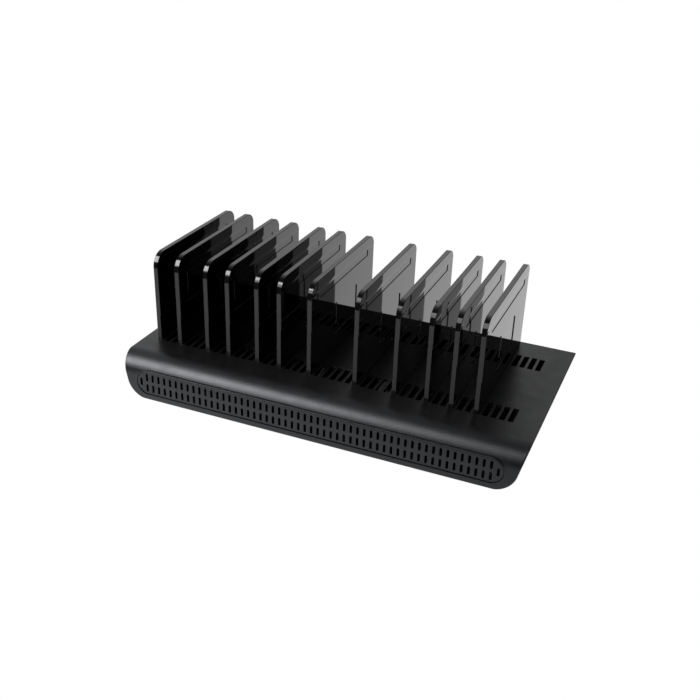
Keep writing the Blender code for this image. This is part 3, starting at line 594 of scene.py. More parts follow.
def half_x(z, inset=0.0):
    """Half the base's length at a height."""
    radius = END_RADIUS - inset
    low = CORNER_Z - radius * sin(END_TAPER)
    if z <= low:
        return CORNER_X + sqrt(max(radius ** 2 - (CORNER_Z - z) ** 2, 0.0))
    return CORNER_X + radius * cos(END_TAPER) + tan(END_TAPER) * (z - low)


def front_y(z, inset=0.0):
    """Where the front face is at a height."""
    if z >= ROUND_Z:
        share = min((z - ROUND_Z) / (ROUND_HEIGHT - inset), 1.0)
        return ROUND_Y - (ROUND_DEPTH - inset) * sqrt(1 - share ** 2)
    return Y_FRONT + inset + FRONT_LEAN * (z - Z_BOTTOM) / (ROUND_Z - Z_BOTTOM)


def edge_round(distance, radius):
    """How far a rounded edge is drawn in at a distance from the face that it rounds into."""
    left = radius - max(distance, 0.0)
    if left <= 0:
        return 0.0
    return radius - sqrt(radius ** 2 - left ** 2)


def end_round(drop_down):
    """How far the rounded edge of the leaning end is drawn in below the flat top."""
    radius = TOP_EDGE
    if drop_down >= radius * (1 + sin(END_TAPER)):
        return 0.0
    line = -tan(END_TAPER) * drop_down
    centre = -radius * (1 + sin(END_TAPER)) / cos(END_TAPER)
    return line - centre - sqrt(max(radius ** 2 - (drop_down - radius) ** 2, 0.0))


def ring_at(z, hx, y_front, y_rear, r_front, r_rear, steps=5):
    """A level of the base: a rectangle with one radius at its front corners and one at its rear ones."""
    corners = (
        ((-hx + r_front, y_front + r_front), r_front, pi, 1.5 * pi),
        ((hx - r_front, y_front + r_front), r_front, 1.5 * pi, 2 * pi),
        ((hx - r_rear, y_rear - r_rear), r_rear, 0, pi / 2),
        ((-hx + r_rear, y_rear - r_rear), r_rear, pi / 2, pi),
    )
    points = []
    for centre, radius, start, end in corners:
        points += arc(centre, (radius, radius), start, end, steps)
    return [(x, y, z) for x, y in points]


def loft(name, rings, hollow=False):
    """A closed solid through rings of equally many points. A hollow one turns back into its first ring."""
    count = len(rings[0])
    vertices = [v for ring in rings for v in ring]
    levels = list(zip(range(len(rings)), range(1, len(rings))))
    faces = []
    if hollow:
        levels.append((len(rings) - 1, 0))
    else:
        faces = [list(range(count))[::-1], [levels[-1][1] * count + i for i in range(count)]]
    for low, high in levels:
        for i in range(count):
            j = (i + 1) % count
            faces.append([low * count + i, low * count + j, high * count + j, high * count + i])
    mesh = bpy.data.meshes.new(name)
    mesh.from_pydata(vertices, [], faces)
    mesh.validate()
    return collect(name, mesh)


def facing_back(name, rings, place, hollow=False):
    """A loft whose rings are (loop, depth behind the mouth), in the plane of the rear face."""
    item = loft(name, [[(u, v, depth) for u, v in loop] for loop, depth in rings], hollow)
    weld(item.data, Matrix.Translation(place) @ UPRIGHT_XZ)
    return item


def turned(name, profile, place, turn=FLAT, steps=32):
    """A solid of revolution from (radius, height) points, lowest first."""
    turns = [2 * pi * i / steps for i in range(steps)]
    item = loft(name, [[(r * cos(a), r * sin(a), z) for a in turns] for r, z in profile])
    weld(item.data, Matrix.Translation(place) @ turn)
    return item


def merge(name, groups, smooth_angle=SHARP_ANGLE):
    """One piece from several, each given with its material."""
    finishes = []
    work = bmesh.new()
    for item, material in groups:
        if material not in finishes:
            finishes.append(material)
        for polygon in item.data.polygons:
            polygon.material_index = finishes.index(material)
        work.from_mesh(item.data)
        drop(item)
    mesh = bpy.data.meshes.new(name)
    work.to_mesh(mesh)
    work.free()
    piece = collect(name, mesh, smooth_angle=smooth_angle)
    for material in finishes:
        mesh.materials.append(material)
    steady_normals(piece)
    return piece


def end_levels(inset, steps):
    """Heights along the rounded lower corners of the ends."""
    turns = [END_TAPER + (pi / 2 - END_TAPER) * i / steps for i in range(steps + 1)]
    return [CORNER_Z - (END_RADIUS - inset) * sin(turn) for turn in turns]


def round_levels(inset, steps):
    """Heights along the rounded front."""
    return [ROUND_Z + (ROUND_HEIGHT - inset) * sin(pi / 2 * i / steps) for i in range(steps + 1)]


def outer_form():
    """The whole base as one solid, with all its outer edges rounded."""
    heights = {Z_BOTTOM, Z_TOP, *round_levels(0, ROUND_STEPS), *end_levels(0, END_STEPS)}
    levels = []
    for z in sorted(heights):
        if not levels or z - levels[-1] > 1e-5:
            levels.append(z)
    rings = []
    for z in levels:
        down = Z_TOP - z
        up = z - Z_BOTTOM
        share = min(max((down - CREASE_START) / CREASE_RUN, 0.0), 1.0)
        rings.append(
            ring_at(
                z,
                half_x(z) - end_round(down),
                front_y(z) + edge_round(up, FOOT_EDGE),
                Y_REAR - edge_round(down, REAR_EDGE) - edge_round(up, REAR_CORNER),
                CREASE_LEAST + CREASE * sqrt(share),
                REAR_CORNER,
            )
        )
    return loft("cover", rings)


def inner_form():
    """The hollow of the base."""
    heights = [Z_FLOOR] + end_levels(WALL, INNER_END_STEPS)[:-1] + round_levels(WALL, INNER_ROUND_STEPS)
    rings = [
        ring_at(z, half_x(z, WALL), front_y(z, WALL), Y_REAR - WALL, INNER_CORNER, INNER_CORNER, 3)
        for z in sorted(heights)
    ]
    return loft("cover_inside", rings)


def slot_cutters():
    """All the slots, each with a chamfered mouth."""
    levels = (
        (Z_CEILING - SLOT_OVER, 0),
        (Z_TOP - SLOT_CHAMFER, 0),
        (Z_TOP + OVER, SLOT_CHAMFER + OVER),
    )
    work = bmesh.new()
    for y in (FRONT_SLOT_Y, REAR_SLOT_Y):
        for number in range(SLOT_COUNT):
            x = FIRST_SLOT_X + number * SLOT_PITCH
            rows = []
            for z, grow in levels:
                wide = SLOT_WIDTH / 2 + grow
                deep = SLOT_LENGTH / 2 + grow
                rows.append([
                    work.verts.new((x + sx * wide, y + sy * deep, z))
                    for sx, sy in ((-1, -1), (1, -1), (1, 1), (-1, 1))
                ])
            work.faces.new(rows[0][::-1])
            work.faces.new(rows[2])
            for low, high in zip(rows, rows[1:]):
                for i in range(4):
                    j = (i + 1) % 4
                    work.faces.new((low[i], low[j], high[j], high[i]))
    mesh = bpy.data.meshes.new("slot_cutters")
    work.to_mesh(mesh)
    work.free()
    return collect("slot_cutters", mesh, smooth_angle=0)


def make_cover():
    cover = outer_form()
    grille_hole = stadium(GRILLE_X, GRILLE_HALF, (0, GRILLE_Z))
    grille = slab("grille_cutter", [grille_hole], GRILLE_CUT, UPRIGHT_XZ, place=(0, Y_FRONT, 0))
    port_hole = stadium(PORT_HALF_X, PORT_HALF, (0, PORT_Z))
    grow = 2 * PORT_CHAMFER
    port_mouth = stadium(PORT_HALF_X + grow, PORT_HALF + grow, (0, PORT_Z))
    ports = facing_back(
        "port_cutter",
        [(port_hole, PORT_CUT), (port_hole, PORT_CHAMFER), (port_mouth, -PORT_CHAMFER)],
        (0, Y_REAR, 0),
    )
    opening = ((2 * OPENING_HALF_X, 2 * OPENING_HALF_Y, OPENING_CUT), (0, 0, Z_BOTTOM))
    bottom = boxes("bottom_cutter", [opening])
    collar = slab(
        "collar",
        [stadium(GRILLE_X + COLLAR_WIDTH, GRILLE_HALF + COLLAR_WIDTH, (0, GRILLE_Z)), grille_hole],
        COLLAR_DEPTH,
        UPRIGHT_XZ,
        COLLAR_EDGE,
        place=(0, GRILLE_FACE - COLLAR_PROUD + COLLAR_DEPTH / 2, 0),
        steps=3,
    )
    apply_boolean(
        cover,
        [
            ("DIFFERENCE", inner_form()),
            ("DIFFERENCE", slot_cutters()),
            ("DIFFERENCE", grille),
            ("DIFFERENCE", ports),
            ("DIFFERENCE", bottom),
            ("UNION", collar),
        ],
    )
    cover.data.materials.clear()
    cover.data.materials.append(SATIN)
    cover.data.shade_smooth()
    cover.data.set_sharp_from_angle(angle=radians(SHARP_ANGLE))
    steady_normals(cover)
    place_all(cover, "base", "housing", "top_cover")


def make_grille():
    pitch = 2 * LAST_VENT_X / (GRILLE_COLUMNS + 1)
    places = [(-LAST_VENT_X, GRILLE_Z), (LAST_VENT_X, GRILLE_Z)]
    for row in (-1, 1):
        z = GRILLE_Z + row * VENT_SPACING / 2
        places += [(-LAST_VENT_X + pitch * (i + 1), z) for i in range(GRILLE_COLUMNS)]
    loops = [stadium(GRILLE_X - GAP, GRILLE_HALF - GAP, (0, GRILLE_Z))]
    loops += [upright(VENT_WIDTH, VENT_HEIGHT, place) for place in places]
    grille = slab(
        "grille",
        loops,
        GRILLE_THICKNESS,
        UPRIGHT_XZ,
        GRILLE_EDGE,
        SATIN,
        (0, GRILLE_FACE + GRILLE_THICKNESS / 2, 0),
    )
    grille.data.set_sharp_from_angle(angle=radians(SHARP_ANGLE))
    steady_normals(grille)
    place_all(grille, "base", "housing", "vent_grille")


def stroke(points, width):
    """The outline of a line drawn with a width, from end to end."""
    left, right = [], []
    for i, point in enumerate(points):
        before = Vector(points[max(i - 1, 0)])
        after = Vector(points[min(i + 1, len(points) - 1)])
        here = Vector(point)
        first = (here - before).normalized() if i else (after - here).normalized()
        second = (after - here).normalized() if i < len(points) - 1 else first
        middle = (first + second).normalized()
        normal = Vector((-middle.y, middle.x))
        reach = width / 2 / max(normal.dot(Vector((-first.y, first.x))), 0.3)
        left.append(tuple(here + normal * reach))
        right.append(tuple(here - normal * reach))
    return left + right[::-1]


def thicken_head(mesh):
    """The plate grows a little thicker above its band."""
    work = bmesh.new()
    work.from_mesh(mesh)
    for i in range(HEAD_STEPS + 1):
        everything = work.verts[:] + work.edges[:] + work.faces[:]
        level = (0, 0, HEAD_LOW + (HEAD_HIGH - HEAD_LOW) * i / HEAD_STEPS)
        bmesh.ops.bisect_plane(work, geom=everything, plane_co=level, plane_no=(0, 0, 1), dist=1e-7)
    for vertex in work.verts:
        height = max(vertex.co.z - HEAD_LOW, 0)
        swell = 1 - (1 - min(height / (HEAD_HIGH - HEAD_LOW), 1)) ** 2
        grow = (HEAD_SWELL * swell + HEAD_LEAN * height) * min(abs(vertex.co.x) / HEAD_CORE, 1)
        vertex.co.x += grow if vertex.co.x > 0 else -grow
    work.to_mesh(mesh)
    work.free()


def band_cutter(side):
    """The long shallow band near the plate's top, whose rim is rounded."""
    middle = ((BAND_FRONT + BAND_REAR) / 2, (BAND_LOW + BAND_HIGH) / 2)
    half_y, half_z = (BAND_REAR - BAND_FRONT) / 2, (BAND_HIGH - BAND_LOW) / 2
    turns = [pi / 2 * i / BAND_RIM_STEPS for i in range(1, BAND_RIM_STEPS + 1)]
    steps = [(BAND_RIM * (1 - sin(a)), BAND_RIM * (1 - cos(a))) for a in turns]
    steps = [(steps[0][0], -BAND_RIM)] + steps + [(0, BAND_DEPTH)]
    rings = []
    for grow, depth in steps:
        loop = rounded(half_y + grow, half_z + grow, BAND_CORNER + grow, middle)
        rings.append([(side * (PLATE / 2 - depth), y, z) for y, z in loop])
    cutter = loft(f"band_{side}", rings)
    weld(cutter.data)
    return cutter


def plate_outline():
    """A divider's plate and its two tabs, seen from the side, as (y, z) points."""
    front, rear, top = PLATE_FRONT, PLATE_REAR, PLATE_TOP
    outline = []
    for y in (FRONT_SLOT_Y, REAR_SLOT_Y):
        half = SLOT_LENGTH / 2 - GAP
        outline += [
            (y - half, PLATE_FOOT),
            (y - half, Z_TOP - WALL),
            (y - half + TAB_DRAFT, Z_TOP - WALL - TAB_REACH),
            (y + half - TAB_DRAFT, Z_TOP - WALL - TAB_REACH),
            (y + half, Z_TOP - WALL),
            (y + half, PLATE_FOOT),
        ]
    low, high = PLATE_FOOT + NOTCH_LOW, PLATE_FOOT + NOTCH_HIGH
    outline += [(rear - GAP, PLATE_FOOT), (rear - GAP, low), (rear, high)]
    for end, side, radius, start, steps in (
        (rear, -1, PLATE_REAR_RADIUS, 0, 14),
        (front, 1, PLATE_FRONT_RADIUS, pi / 2, 16),
    ):
        outline += arc((end + side * radius, top - radius), (radius, radius), start, start + pi / 2, steps)
    return outline + [(front, high), (front + GAP, low)]


def plate_finish(face):
    """The material of one face of the divider."""
    height = face.center.z
    # Raised lines get the light grey painted highlight.
    if abs(face.center.x) > PLATE / 2 + RIB_PROUD and height < RIB_LIMIT:
        return LINE_PAINTED_HIGHLIGHT
    # Front edges: satin, with the grey of a painted reflection.
    if abs(face.normal.y) > 0.95 and PLATE_FOOT + NOTCH_HIGH < height < CORNER_LIMIT:
        return EDGE_REFLECTION_GREY
    if face.normal.y < -0.3 and height > CORNER_LIMIT:
        return CORNER
    return GLOSS


def divider_mesh():
    """One divider, at x = 0, with its tabs, its raised lines and its shallow bands."""
    plate = slab("divider", [plate_outline()], PLATE, UPRIGHT_YZ, PLATE_EDGE, steps=0)
    changes = []
    for side in (-1, 1):
        for number, line in enumerate(RIBS):
            outline = stroke(line, RIB_WIDTH)
            spot = (side * PLATE / 2, 0, 0)
            name = f"rib_{side}_{number}"
            rib = slab(name, [outline], 2 * RIB_HEIGHT, UPRIGHT_YZ, RIB_EDGE, place=spot, steps=1)
            changes.append(("UNION", rib))
    changes += [("DIFFERENCE", band_cutter(side)) for side in (-1, 1)]
    apply_boolean(plate, changes)
    thicken_head(plate.data)
    mesh = plate.data
    finishes = (GLOSS, EDGE_REFLECTION_GREY, LINE_PAINTED_HIGHLIGHT, CORNER)
    mesh.materials.clear()
    for finish in finishes:
        mesh.materials.append(finish)
    for face in mesh.polygons:
        face.material_index = finishes.index(plate_finish(face))
    mesh.shade_smooth()
    mesh.set_sharp_from_angle(angle=radians(40))
    mesh = steady_normals(plate)
    drop(plate)
    return mesh


def make_dividers():
    mesh = divider_mesh()
    for number, slot in enumerate(DIVIDER_SLOTS, 1):
        name = f"divider_{number:02d}"
        item = bpy.data.objects.new(f"plate_{number:02d}", mesh)
        bpy.context.scene.collection.objects.link(item)
        item.location = (FIRST_SLOT_X + slot * SLOT_PITCH, 0, 0)
        place_all(item, name, "gloss_black", name)


def port_x(number):
    return (number - (PORT_COUNT - 1) / 2) * PORT_PITCH


def make_port_panel():
    """The insert in the rear face, with a raised frame round each socket."""

    def border(grow, radius, x):
        return rounded(SHELL_HALF_X + grow, SHELL_HALF_Z + grow, radius, (x, SHELL_Z))

    mouths = [border(*PORT_HOLE, port_x(i)) for i in range(PORT_COUNT)]
    frames = [
        slab(
            f"frame_{i}",
            [border(*PORT_FRAME_OUTER, port_x(i)), border(*PORT_FRAME_INNER, port_x(i))],
            PORT_FRAME,
            UPRIGHT_XZ,
            PORT_EDGE,
            place=(0, PORT_FACE - PORT_FRAME_SINK, 0),
        )
        for i in range(PORT_COUNT)
    ]
    bodies = [
        rounded(half + GAP, CONNECTOR_HALF_Z + GAP, CONNECTOR_RADIUS, (x, CONNECTOR_Z))
        for half, x in ((INLET_HALF_X, -CONNECTOR_X), (SWITCH_HALF_X, CONNECTOR_X))
    ]
    panel = slab(
        "panel",
        [stadium(PORT_HALF_X + PORT_OVERLAP, PORT_HALF + PORT_OVERLAP, (0, PORT_Z))] + mouths + bodies,
        PORT_THICKNESS,
        UPRIGHT_XZ,
        PORT_EDGE,
        place=(0, PORT_FACE - PORT_THICKNESS / 2, 0),
    )
    parts = [(item, MATTE) for item in [panel] + frames]
    place_all(merge("ports_insert", parts), "base", "dark_plastic", "port_panel")


def make_usb_sockets():
    """Folded metal shells with a flared mouth, a seam and springs, each with a tongue and four contacts."""
    rings = [
        (rounded(SHELL_HALF_X - shrink, SHELL_HALF_Z - shrink, radius), depth)
        for shrink, radius, depth in SHELL_PROFILE
    ]
    shell = facing_back("shell", rings, (0, PORT_MOUTH, SHELL_Z), hollow=True)
    seam = boxes("seam", [(SEAM_SIZE, (0, PORT_MOUTH, SHELL_Z - SHELL_HALF_Z))])
    apply_boolean(shell, [("DIFFERENCE", seam)])
    parts = [(shell, STEEL)]
    inner = SHELL_HALF_Z - SHELL_WALL
    for x in (-SPRING_X, SPRING_X):
        for side in (-1, 1):
            points = [(PORT_MOUTH + y, SHELL_Z + side * (inner + z)) for y, z in SPRING_LINE]
            outline = stroke(points, SPRING_THICKNESS)
            spot = (x, 0, 0)
            spring = slab("spring", [outline], SPRING_WIDTH, UPRIGHT_YZ, SPRING_EDGE, place=spot, steps=1)
            parts.append((spring, STEEL))
    socket = merge("socket", parts)

    back = PORT_MOUTH - SHELL_DEPTH
    front = back + TONGUE_BLOCK
    tip = PORT_MOUTH - TONGUE_SETBACK
    block = inner - GAP
    profile = [(back, -block), (front, -block), (front, 0), (tip, 0), (tip, TONGUE_THICKNESS)]
    profile += [(front, TONGUE_THICKNESS), (front, block), (back, block)]
    outline = [(y, SHELL_Z + z) for y, z in profile]
    tongue = slab("tongue", [outline], 2 * (SHELL_HALF_X - SHELL_WALL - GAP), UPRIGHT_YZ, TONGUE_EDGE)
    half = (tip - front) / 2 - CONTACT_MARGIN
    contacts = []
    for x in CONTACT_X:
        outline = rounded(CONTACT_HALF, half, CONTACT_RADIUS, (x, (tip + front) / 2), 2)
        spot = (0, 0, SHELL_Z - CONTACT_SINK)
        contact = slab("contact", [outline], CONTACT_THICKNESS, FLAT, CONTACT_EDGE, place=spot, steps=1)
        contacts.append((contact, GOLD))
    blade = merge("blade", [(tongue, MATTE)] + contacts)
    for i in range(PORT_COUNT):
        for source, kind, slot in ((socket, "socket", "steel"), (blade, "tongue", "dark_plastic")):
            item = bpy.data.objects.new(f"{kind}_{i + 1:02d}", source.data)
            bpy.context.scene.collection.objects.link(item)
            item.location = (port_x(i), 0, 0)
            place_all(item, "base", slot, f"usb_{kind}_{i + 1:02d}")
    drop(socket, blade)


def flanged(name, half_x, depth, x):
    """A connector's body with a rounded flange at its mouth."""
    rings = [
        (rounded(half_x + grow, CONNECTOR_HALF_Z + grow, radius), behind)
        for grow, radius, behind in ((0, CONNECTOR_RADIUS, depth), *FLANGE_PROFILE)
    ]
    return facing_back(name, rings, (x, CONNECTOR_FACE, CONNECTOR_Z))


def pin_profile():
    """A pin from its tail to its rounded tip, as (radius, depth behind the mouth) points."""
    depth = PIN_TIP + PIN_TIP_LENGTH
    profile = [(PIN_RADIUS - PIN_EDGE, PIN_TAIL), (PIN_RADIUS, PIN_TAIL - PIN_EDGE), (PIN_RADIUS, depth)]
    for i in range(1, 6):
        turn = pi / 2 * i / 6
        radius = PIN_TIP_RADIUS + (PIN_RADIUS - PIN_TIP_RADIUS) * cos(turn)
        profile.append((radius, PIN_TIP + PIN_TIP_LENGTH * (1 - sin(turn))))
    return profile + [(PIN_TIP_RADIUS, PIN_TIP)]


def make_inlet():
    body = flanged("inlet_body", INLET_HALF_X, INLET_DEPTH, -CONNECTOR_X)
    hole = stadium(SOCKET_HALF_X, SOCKET_HALF_Z)
    mouth = stadium(SOCKET_HALF_X + SOCKET_FLARE, SOCKET_HALF_Z + SOCKET_FLARE)
    cutter = facing_back(
        "socket_cutter",
        [(hole, SOCKET_DEPTH), (hole, SOCKET_FLARE_DEPTH), (mouth, -MOUTH_OVER)],
        (-CONNECTOR_X, CONNECTOR_FACE, CONNECTOR_Z),
    )
    places = [(-CONNECTOR_X + side * PIN_X, CONNECTOR_FACE, CONNECTOR_Z) for side in (-1, 1)]
    bore = [(PIN_RADIUS + GAP, depth) for depth in BORE_DEPTHS]
    bores = [turned("bore", bore, place, UPRIGHT_XZ, 20) for place in places]
    apply_boolean(body, [("DIFFERENCE", item) for item in [cutter] + bores])
    place_all(merge("inlet", [(body, MATTE)]), "base", "dark_plastic", "mains_inlet")
    for number, place in enumerate(places, 1):
        pin = merge(f"pin_{number}", [(turned("pin", pin_profile(), place, UPRIGHT_XZ, 20), STEEL)])
        place_all(pin, "base", "steel", f"inlet_pin_{number}")


def make_switch():
    body = flanged("switch_body", SWITCH_HALF_X, SWITCH_DEPTH, CONNECTOR_X)
    half_x, half_z = SWITCH_HALF_X - SWITCH_WALL, CONNECTOR_HALF_Z - SWITCH_WALL
    hole = rounded(half_x, half_z, SWITCH_RADIUS)
    mouth = rounded(half_x + SWITCH_FLARE, half_z + SWITCH_FLARE, SWITCH_RADIUS + SWITCH_FLARE)
    cutter = facing_back(
        "switch_cutter",
        [(hole, SWITCH_DEPTH - SWITCH_WALL), (hole, SWITCH_FLARE_DEPTH), (mouth, -MOUTH_OVER)],
        (CONNECTOR_X, CONNECTOR_FACE, CONNECTOR_Z),
    )
    apply_boolean(body, [("DIFFERENCE", cutter)])
    place_all(merge("switch", [(body, MATTE)]), "base", "dark_plastic", "switch_housing")

    def face_rise(x):
        return ROCKER_DIP + ROCKER_RISE * (x / ROCKER_REACH) ** 2

    outline = [(-ROCKER_ROOT_X, -ROCKER_ROOT_DROP), (ROCKER_ROOT_X, -ROCKER_ROOT_DROP)]
    outline += [(x, face_rise(x)) for x in [ROCKER_REACH * (1 - i / 8) for i in range(17)]]
    pivot = Matrix.Translation((CONNECTOR_X, CONNECTOR_FACE - ROCKER_SETBACK, CONNECTOR_Z))
    turn = pivot @ Matrix.Rotation(ROCKER_TILT, 4, "Z")
    parts = [(slab("rocker_body", [outline], ROCKER_HEIGHT, turn, ROCKER_EDGE, steps=3), MATTE)]
    line = [upright(*MARK_LINE, (0, 0))]
    ring = [stadium(radius, radius) for radius in MARK_RING]
    for x, loops in ((-MARK_X, line), (MARK_X, ring)):
        slope = atan2(2 * ROCKER_RISE * x, ROCKER_REACH ** 2)
        spot = Matrix.Translation((x, face_rise(x), 0)) @ Matrix.Rotation(slope, 4, "Z")
        mark = slab("mark", loops, MARK_THICKNESS, turn @ spot @ UPRIGHT_XZ, MARK_EDGE, steps=1)
        parts.append((mark, MARK))
    place_all(merge("rocker", parts), "power_rocker", "dark_plastic", "power_rocker")


def make_bottom():
    """The bottom cover, with pockets for the feet, counterbores for the screws and the board's standoffs."""
    holes = [stadium(SHANK_RADIUS + GAP, SHANK_RADIUS + GAP, place) for place in SCREW_PLACES]
    sheet = rounded(OPENING_HALF_X - GAP, OPENING_HALF_Y - GAP, BOTTOM_CORNER)
    middle = (0, 0, Z_BOTTOM + WALL / 2)
    cover = slab("bottom_plate", [sheet] + holes, WALL, FLAT, BOTTOM_EDGE, place=middle)
    pockets = [(SCREW_RADIUS + GAP, SCREW_SINK, place) for place in SCREW_PLACES]
    pockets += [(FOOT_RADIUS + GAP, FOOT_SINK, place) for place in FOOT_PLACES]
    cutters = []
    for radius, depth, (x, y) in pockets:
        profile = [(radius + POCKET_FLARE, -OVER), (radius, POCKET_FLARE_DEPTH), (radius, depth)]
        cutters.append(turned("pocket", profile, (x, y, Z_BOTTOM), steps=48))
    apply_boolean(cover, [("DIFFERENCE", item) for item in cutters])
    parts = [(cover, SATIN)]
    profile = [
        (STANDOFF_RADIUS, Z_FLOOR - STANDOFF_EMBED),
        (STANDOFF_RADIUS, STANDOFF_TOP - STANDOFF_CHAMFER),
        (STANDOFF_RADIUS - STANDOFF_CHAMFER, STANDOFF_TOP),
    ]
    for x, y in STANDOFF_PLACES:
        parts.append((turned("standoff", profile, (x, y, 0), steps=24), SATIN))
    place_all(merge("bottom", parts, 20), "base", "housing", "bottom_cover")


def make_feet():
    """Moulded rubber feet with a rounded rim and a shallow dish."""
    rim = arc((FOOT_RADIUS - FOOT_RIM, FOOT_RIM), (FOOT_RIM, FOOT_RIM), -pi / 2, 0, 6)
    profile = FOOT_DISH + rim
    profile += [(FOOT_RADIUS, FOOT_TOP - FOOT_CHAMFER), (FOOT_RADIUS - FOOT_CHAMFER, FOOT_TOP)]
    for number, (x, y) in enumerate(FOOT_PLACES, 1):
        foot = turned("foot_body", profile, (x, y, 0), steps=48)
        place_all(merge(f"foot_{number}", [(foot, RUBBER)]), "base", "rubber", f"rubber_foot_{number}")


def make_screws():
    """Pan heads with a cross recess."""
    top, under = Z_BOTTOM, Z_BOTTOM + SCREW_HEAD
    tip = Z_BOTTOM + SCREW_REACH
    profile = [(radius, top + drawn) for radius, drawn in SCREW_CROWN]
    profile += [(SCREW_RADIUS, under), (SHANK_RADIUS, under), (SHANK_RADIUS, tip - SCREW_POINT)]
    profile += [(SHANK_RADIUS / 3, tip)]
    for number, (x, y) in enumerate(SCREW_PLACES, 1):
        screw = turned("screw_body", profile, (x, y, 0), steps=40)
        rings = []
        for z, long, wide in SCREW_CROSS:
            ring = []
            for c, s in ((1, 0), (0, 1), (-1, 0), (0, -1)):
                corners = [(long, wide), (wide, wide), (wide, long)]
                ring += [(x + u * c - v * s, y + u * s + v * c, top + z) for u, v in corners]
            rings.append(ring)
        cross = loft("cross", rings)
        weld(cross.data)
        apply_boolean(screw, [("DIFFERENCE", cross)])
        place_all(merge(f"pan_screw_{number}", [(screw, STEEL)], 35), "base", "steel", f"screw_{number}")


def dress_nodes():
    """Materials for the model's own pieces that stay in view."""
    for row in frame["record"]["subparts"]:
        node = NODES[row["node"]]
        node.data.materials.clear()
        node.data.materials.append(FINISHES.get(row["material_slot"], SATIN))
        if row["node"] in ROUNDED_NODES:
            step = node.modifiers.new("edges", "BEVEL")
            step.width = ROUNDED_NODES[row["node"]]
            step.segments = 2
            step.limit_method = "ANGLE"
            step.angle_limit = radians(40)
            step.harden_normals = True


# Studio

# Ramps: the value at the first place, the value at the second, and those places
# Painted shade: in mirror images the table in front dims to the right.
TABLE_PAINTED_SHADE_ACROSS = (1.0, 0.5, -0.25, 0.2)
# Painted light: a brighter strip on the table in front of the base, seen in mirror images.
TABLE_PAINTED_LIGHT_STRIP = (0.95, 1.38, -0.18, -0.11)
TABLE_BEHIND = (0.0, 1.0, -0.09, 0.05)  # how much of the table is the even part behind
TABLE_END = (0.04, 1.0, -0.29, -0.21)
# Painted light: in mirror images the table is brighter close to the base.
TABLE_PAINTED_LIGHT_CLOSE = (1.2, 1.0, 0.0, 0.03)  # by the distance from the base
SKY_BEHIND = (0.05, 0.84, 0.0, 0.6)
SKY_LEFT = (1.0, 0.10, -0.16, 0.08)

FLOOR_REACH = 4.0
LIGHT_AIM = (0, -0.04, 0.08)
LIGHTS = (  # name, place, size and radiance
    ("soft_left", (-0.650, -0.555, 0.725), (0.420, 0.620), 14.2),
    ("soft_middle", (-0.329, -0.614, 0.768), (0.196, 0.630), 4.9),
    ("soft_right", (-0.098, -0.600, 0.815), (0.182, 0.560), 4.0),
)
CAMERA_PLACE = (0.25738736, -0.64019169, 0.39932933)
CAMERA_TURN = 0.384506737
CAMERA_TILT = 0.480100672
CAMERA_ROLL = 0.0351408983
FRAME_PIXELS = 700
FOCAL_PIXELS = 965.6327
SENSOR = 36


def set_inputs(tree, pairs):
    """Each input gets a number, or a link from another node's output."""
    for socket, value in pairs:
        if isinstance(value, float):
            socket.default_value = value
        else:
            tree.links.new(value, socket)


def calculate(tree, operation, first, second):
    node = add_node(tree, "ShaderNodeMath", operation=operation)
    set_inputs(tree, zip(node.inputs, (first, second)))
    return node.outputs[0]


def calculate_vector(tree, operation, source, other=(0, 0, 0)):
    node = add_node(tree, "ShaderNodeVectorMath", operation=operation)
    tree.links.new(source, node.inputs[0])
    node.inputs[1].default_value = other
    return node


def pick(tree, factor, first, second):
    """The first number where factor is 0 and the second where it is 1."""
    node = add_node(tree, "ShaderNodeMix", data_type="FLOAT")
    set_inputs(tree, [(node.inputs["Factor"], factor), (node.inputs["A"], first), (node.inputs["B"], second)])
    return node.outputs["Result"]


def axes_of(tree, output):
    """Texture coordinates of one kind, and the same split into X, Y and Z."""
    place = add_node(tree, "ShaderNodeTexCoord").outputs[output]
    axes = add_node(tree, "ShaderNodeSeparateXYZ")
    tree.links.new(place, axes.inputs[0])
    return place, axes.outputs


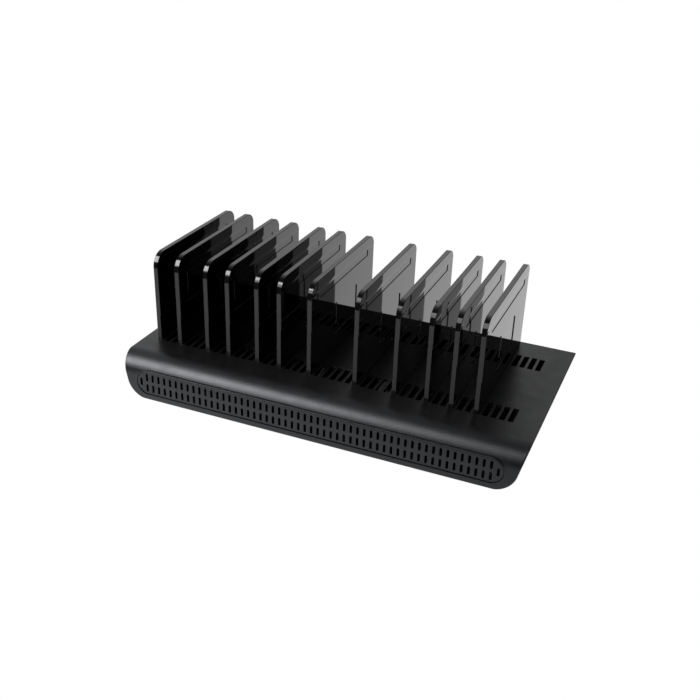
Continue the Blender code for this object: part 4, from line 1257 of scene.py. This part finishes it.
def stage_material():
    """White to the eye. In mirror images, a white table that ends in front, with painted light and shade on
    it: it dims to the right there, has a brighter painted strip in front of the base and is brighter close to
    the base.
    """
    material, tree, shader = new_material("paper")
    shader.inputs["Base Color"].default_value = (0.85, 0.85, 0.85, 1)
    shader.inputs["Roughness"].default_value = 0.9
    place, axes = axes_of(tree, "Object")
    # Painted light and shade on the table, which only mirror images see.
    across = spread(tree, axes["X"], *TABLE_PAINTED_SHADE_ACROSS)
    across = calculate(tree, "MULTIPLY", across, spread(tree, axes["Y"], *TABLE_PAINTED_LIGHT_STRIP))
    side = pick(tree, spread(tree, axes["Y"], *TABLE_BEHIND), across, 1.0)
    table = calculate(tree, "MULTIPLY", side, spread(tree, axes["Y"], *TABLE_END))
    # Painted light that grows toward the base.
    apart = calculate_vector(tree, "ABSOLUTE", place)
    beyond = calculate_vector(tree, "SUBTRACT", apart.outputs[0], (CORNER_X, Y_REAR, 0))
    outside = calculate_vector(tree, "MAXIMUM", beyond.outputs[0])
    distance = calculate_vector(tree, "LENGTH", outside.outputs[0])
    table = calculate(tree, "MULTIPLY", table, spread(tree, distance.outputs["Value"], *TABLE_PAINTED_LIGHT_CLOSE))
    path = add_node(tree, "ShaderNodeLightPath").outputs
    light = add_node(tree, "ShaderNodeEmission")
    tree.links.new(pick(tree, path["Is Camera Ray"], table, 1.0), light.inputs["Strength"])
    seen = calculate(tree, "MAXIMUM", path["Is Camera Ray"], path["Is Glossy Ray"])
    seen = calculate(tree, "MAXIMUM", seen, path["Is Transmission Ray"])
    mix = add_node(tree, "ShaderNodeMixShader")
    tree.links.new(seen, mix.inputs["Fac"])
    tree.links.new(shader.outputs[0], mix.inputs[1])
    tree.links.new(light.outputs[0], mix.inputs[2])
    tree.links.new(mix.outputs[0], tree.nodes["Material Output"].inputs["Surface"])
    return material


def make_floor():
    corners = [(x * FLOOR_REACH, y * FLOOR_REACH, 0) for x, y in ((-1, -1), (1, -1), (1, 1), (-1, 1))]
    mesh = bpy.data.meshes.new("floor")
    mesh.from_pydata(corners, [], [(0, 1, 2, 3)])
    floor = collect("floor", mesh, stage_material(), 0)


def make_world():
    """White to the eye. As light, it is dark in front, soft behind, and brighter to the left."""
    world = bpy.data.worlds.new("studio")
    bpy.context.scene.world = world
    world.use_nodes = True
    tree = world.node_tree
    axes = axes_of(tree, "Generated")[1]
    behind = spread(tree, axes["Y"], *SKY_BEHIND)
    both = calculate(tree, "MULTIPLY", behind, spread(tree, axes["X"], *SKY_LEFT))
    path = add_node(tree, "ShaderNodeLightPath").outputs
    back = tree.nodes["Background"]
    back.inputs["Color"].default_value = (1, 1, 1, 1)
    tree.links.new(pick(tree, path["Is Camera Ray"], both, 1.0), back.inputs["Strength"])


def make_lights():
    """One long softbox in front on the left, in three parts that dim to the right."""
    for name, place, size, radiance in LIGHTS:
        data = bpy.data.lights.new(name, "AREA")
        data.shape = "RECTANGLE"
        data.size, data.size_y = size
        data.energy = radiance * size[0] * size[1] * pi
        item = bpy.data.objects.new(name, data)
        bpy.context.scene.collection.objects.link(item)
        item.location = place
        item.rotation_euler = (Vector(LIGHT_AIM) - Vector(place)).to_track_quat("-Z", "Y").to_euler()


def make_camera():
    """The photograph's view, for a square frame."""
    turn, tilt, roll = CAMERA_TURN, CAMERA_TILT, CAMERA_ROLL
    forward = Vector((-sin(turn) * cos(tilt), cos(turn) * cos(tilt), -sin(tilt)))
    right = Vector((cos(turn), sin(turn), 0))
    up = right.cross(forward)
    right, up = cos(roll) * right + sin(roll) * up, cos(roll) * up - sin(roll) * right
    data = bpy.data.cameras.new("camera")
    data.sensor_fit = "HORIZONTAL"
    data.sensor_width = SENSOR
    data.lens = FOCAL_PIXELS / FRAME_PIXELS * SENSOR
    data.clip_start = 0.01
    camera = bpy.data.objects.new("camera", data)
    bpy.context.scene.collection.objects.link(camera)
    matrix = Matrix((right, up, -forward)).transposed().to_4x4()
    matrix.translation = CAMERA_PLACE
    camera.matrix_world = matrix
    bpy.context.scene.camera = camera


make_camera()
dress_nodes()
make_cover()
make_grille()
make_dividers()
make_port_panel()
make_usb_sockets()
make_inlet()
make_switch()
make_bottom()
make_feet()
make_screws()
make_floor()
make_world()
make_lights()

bpy.context.scene.view_settings.view_transform = "Standard"
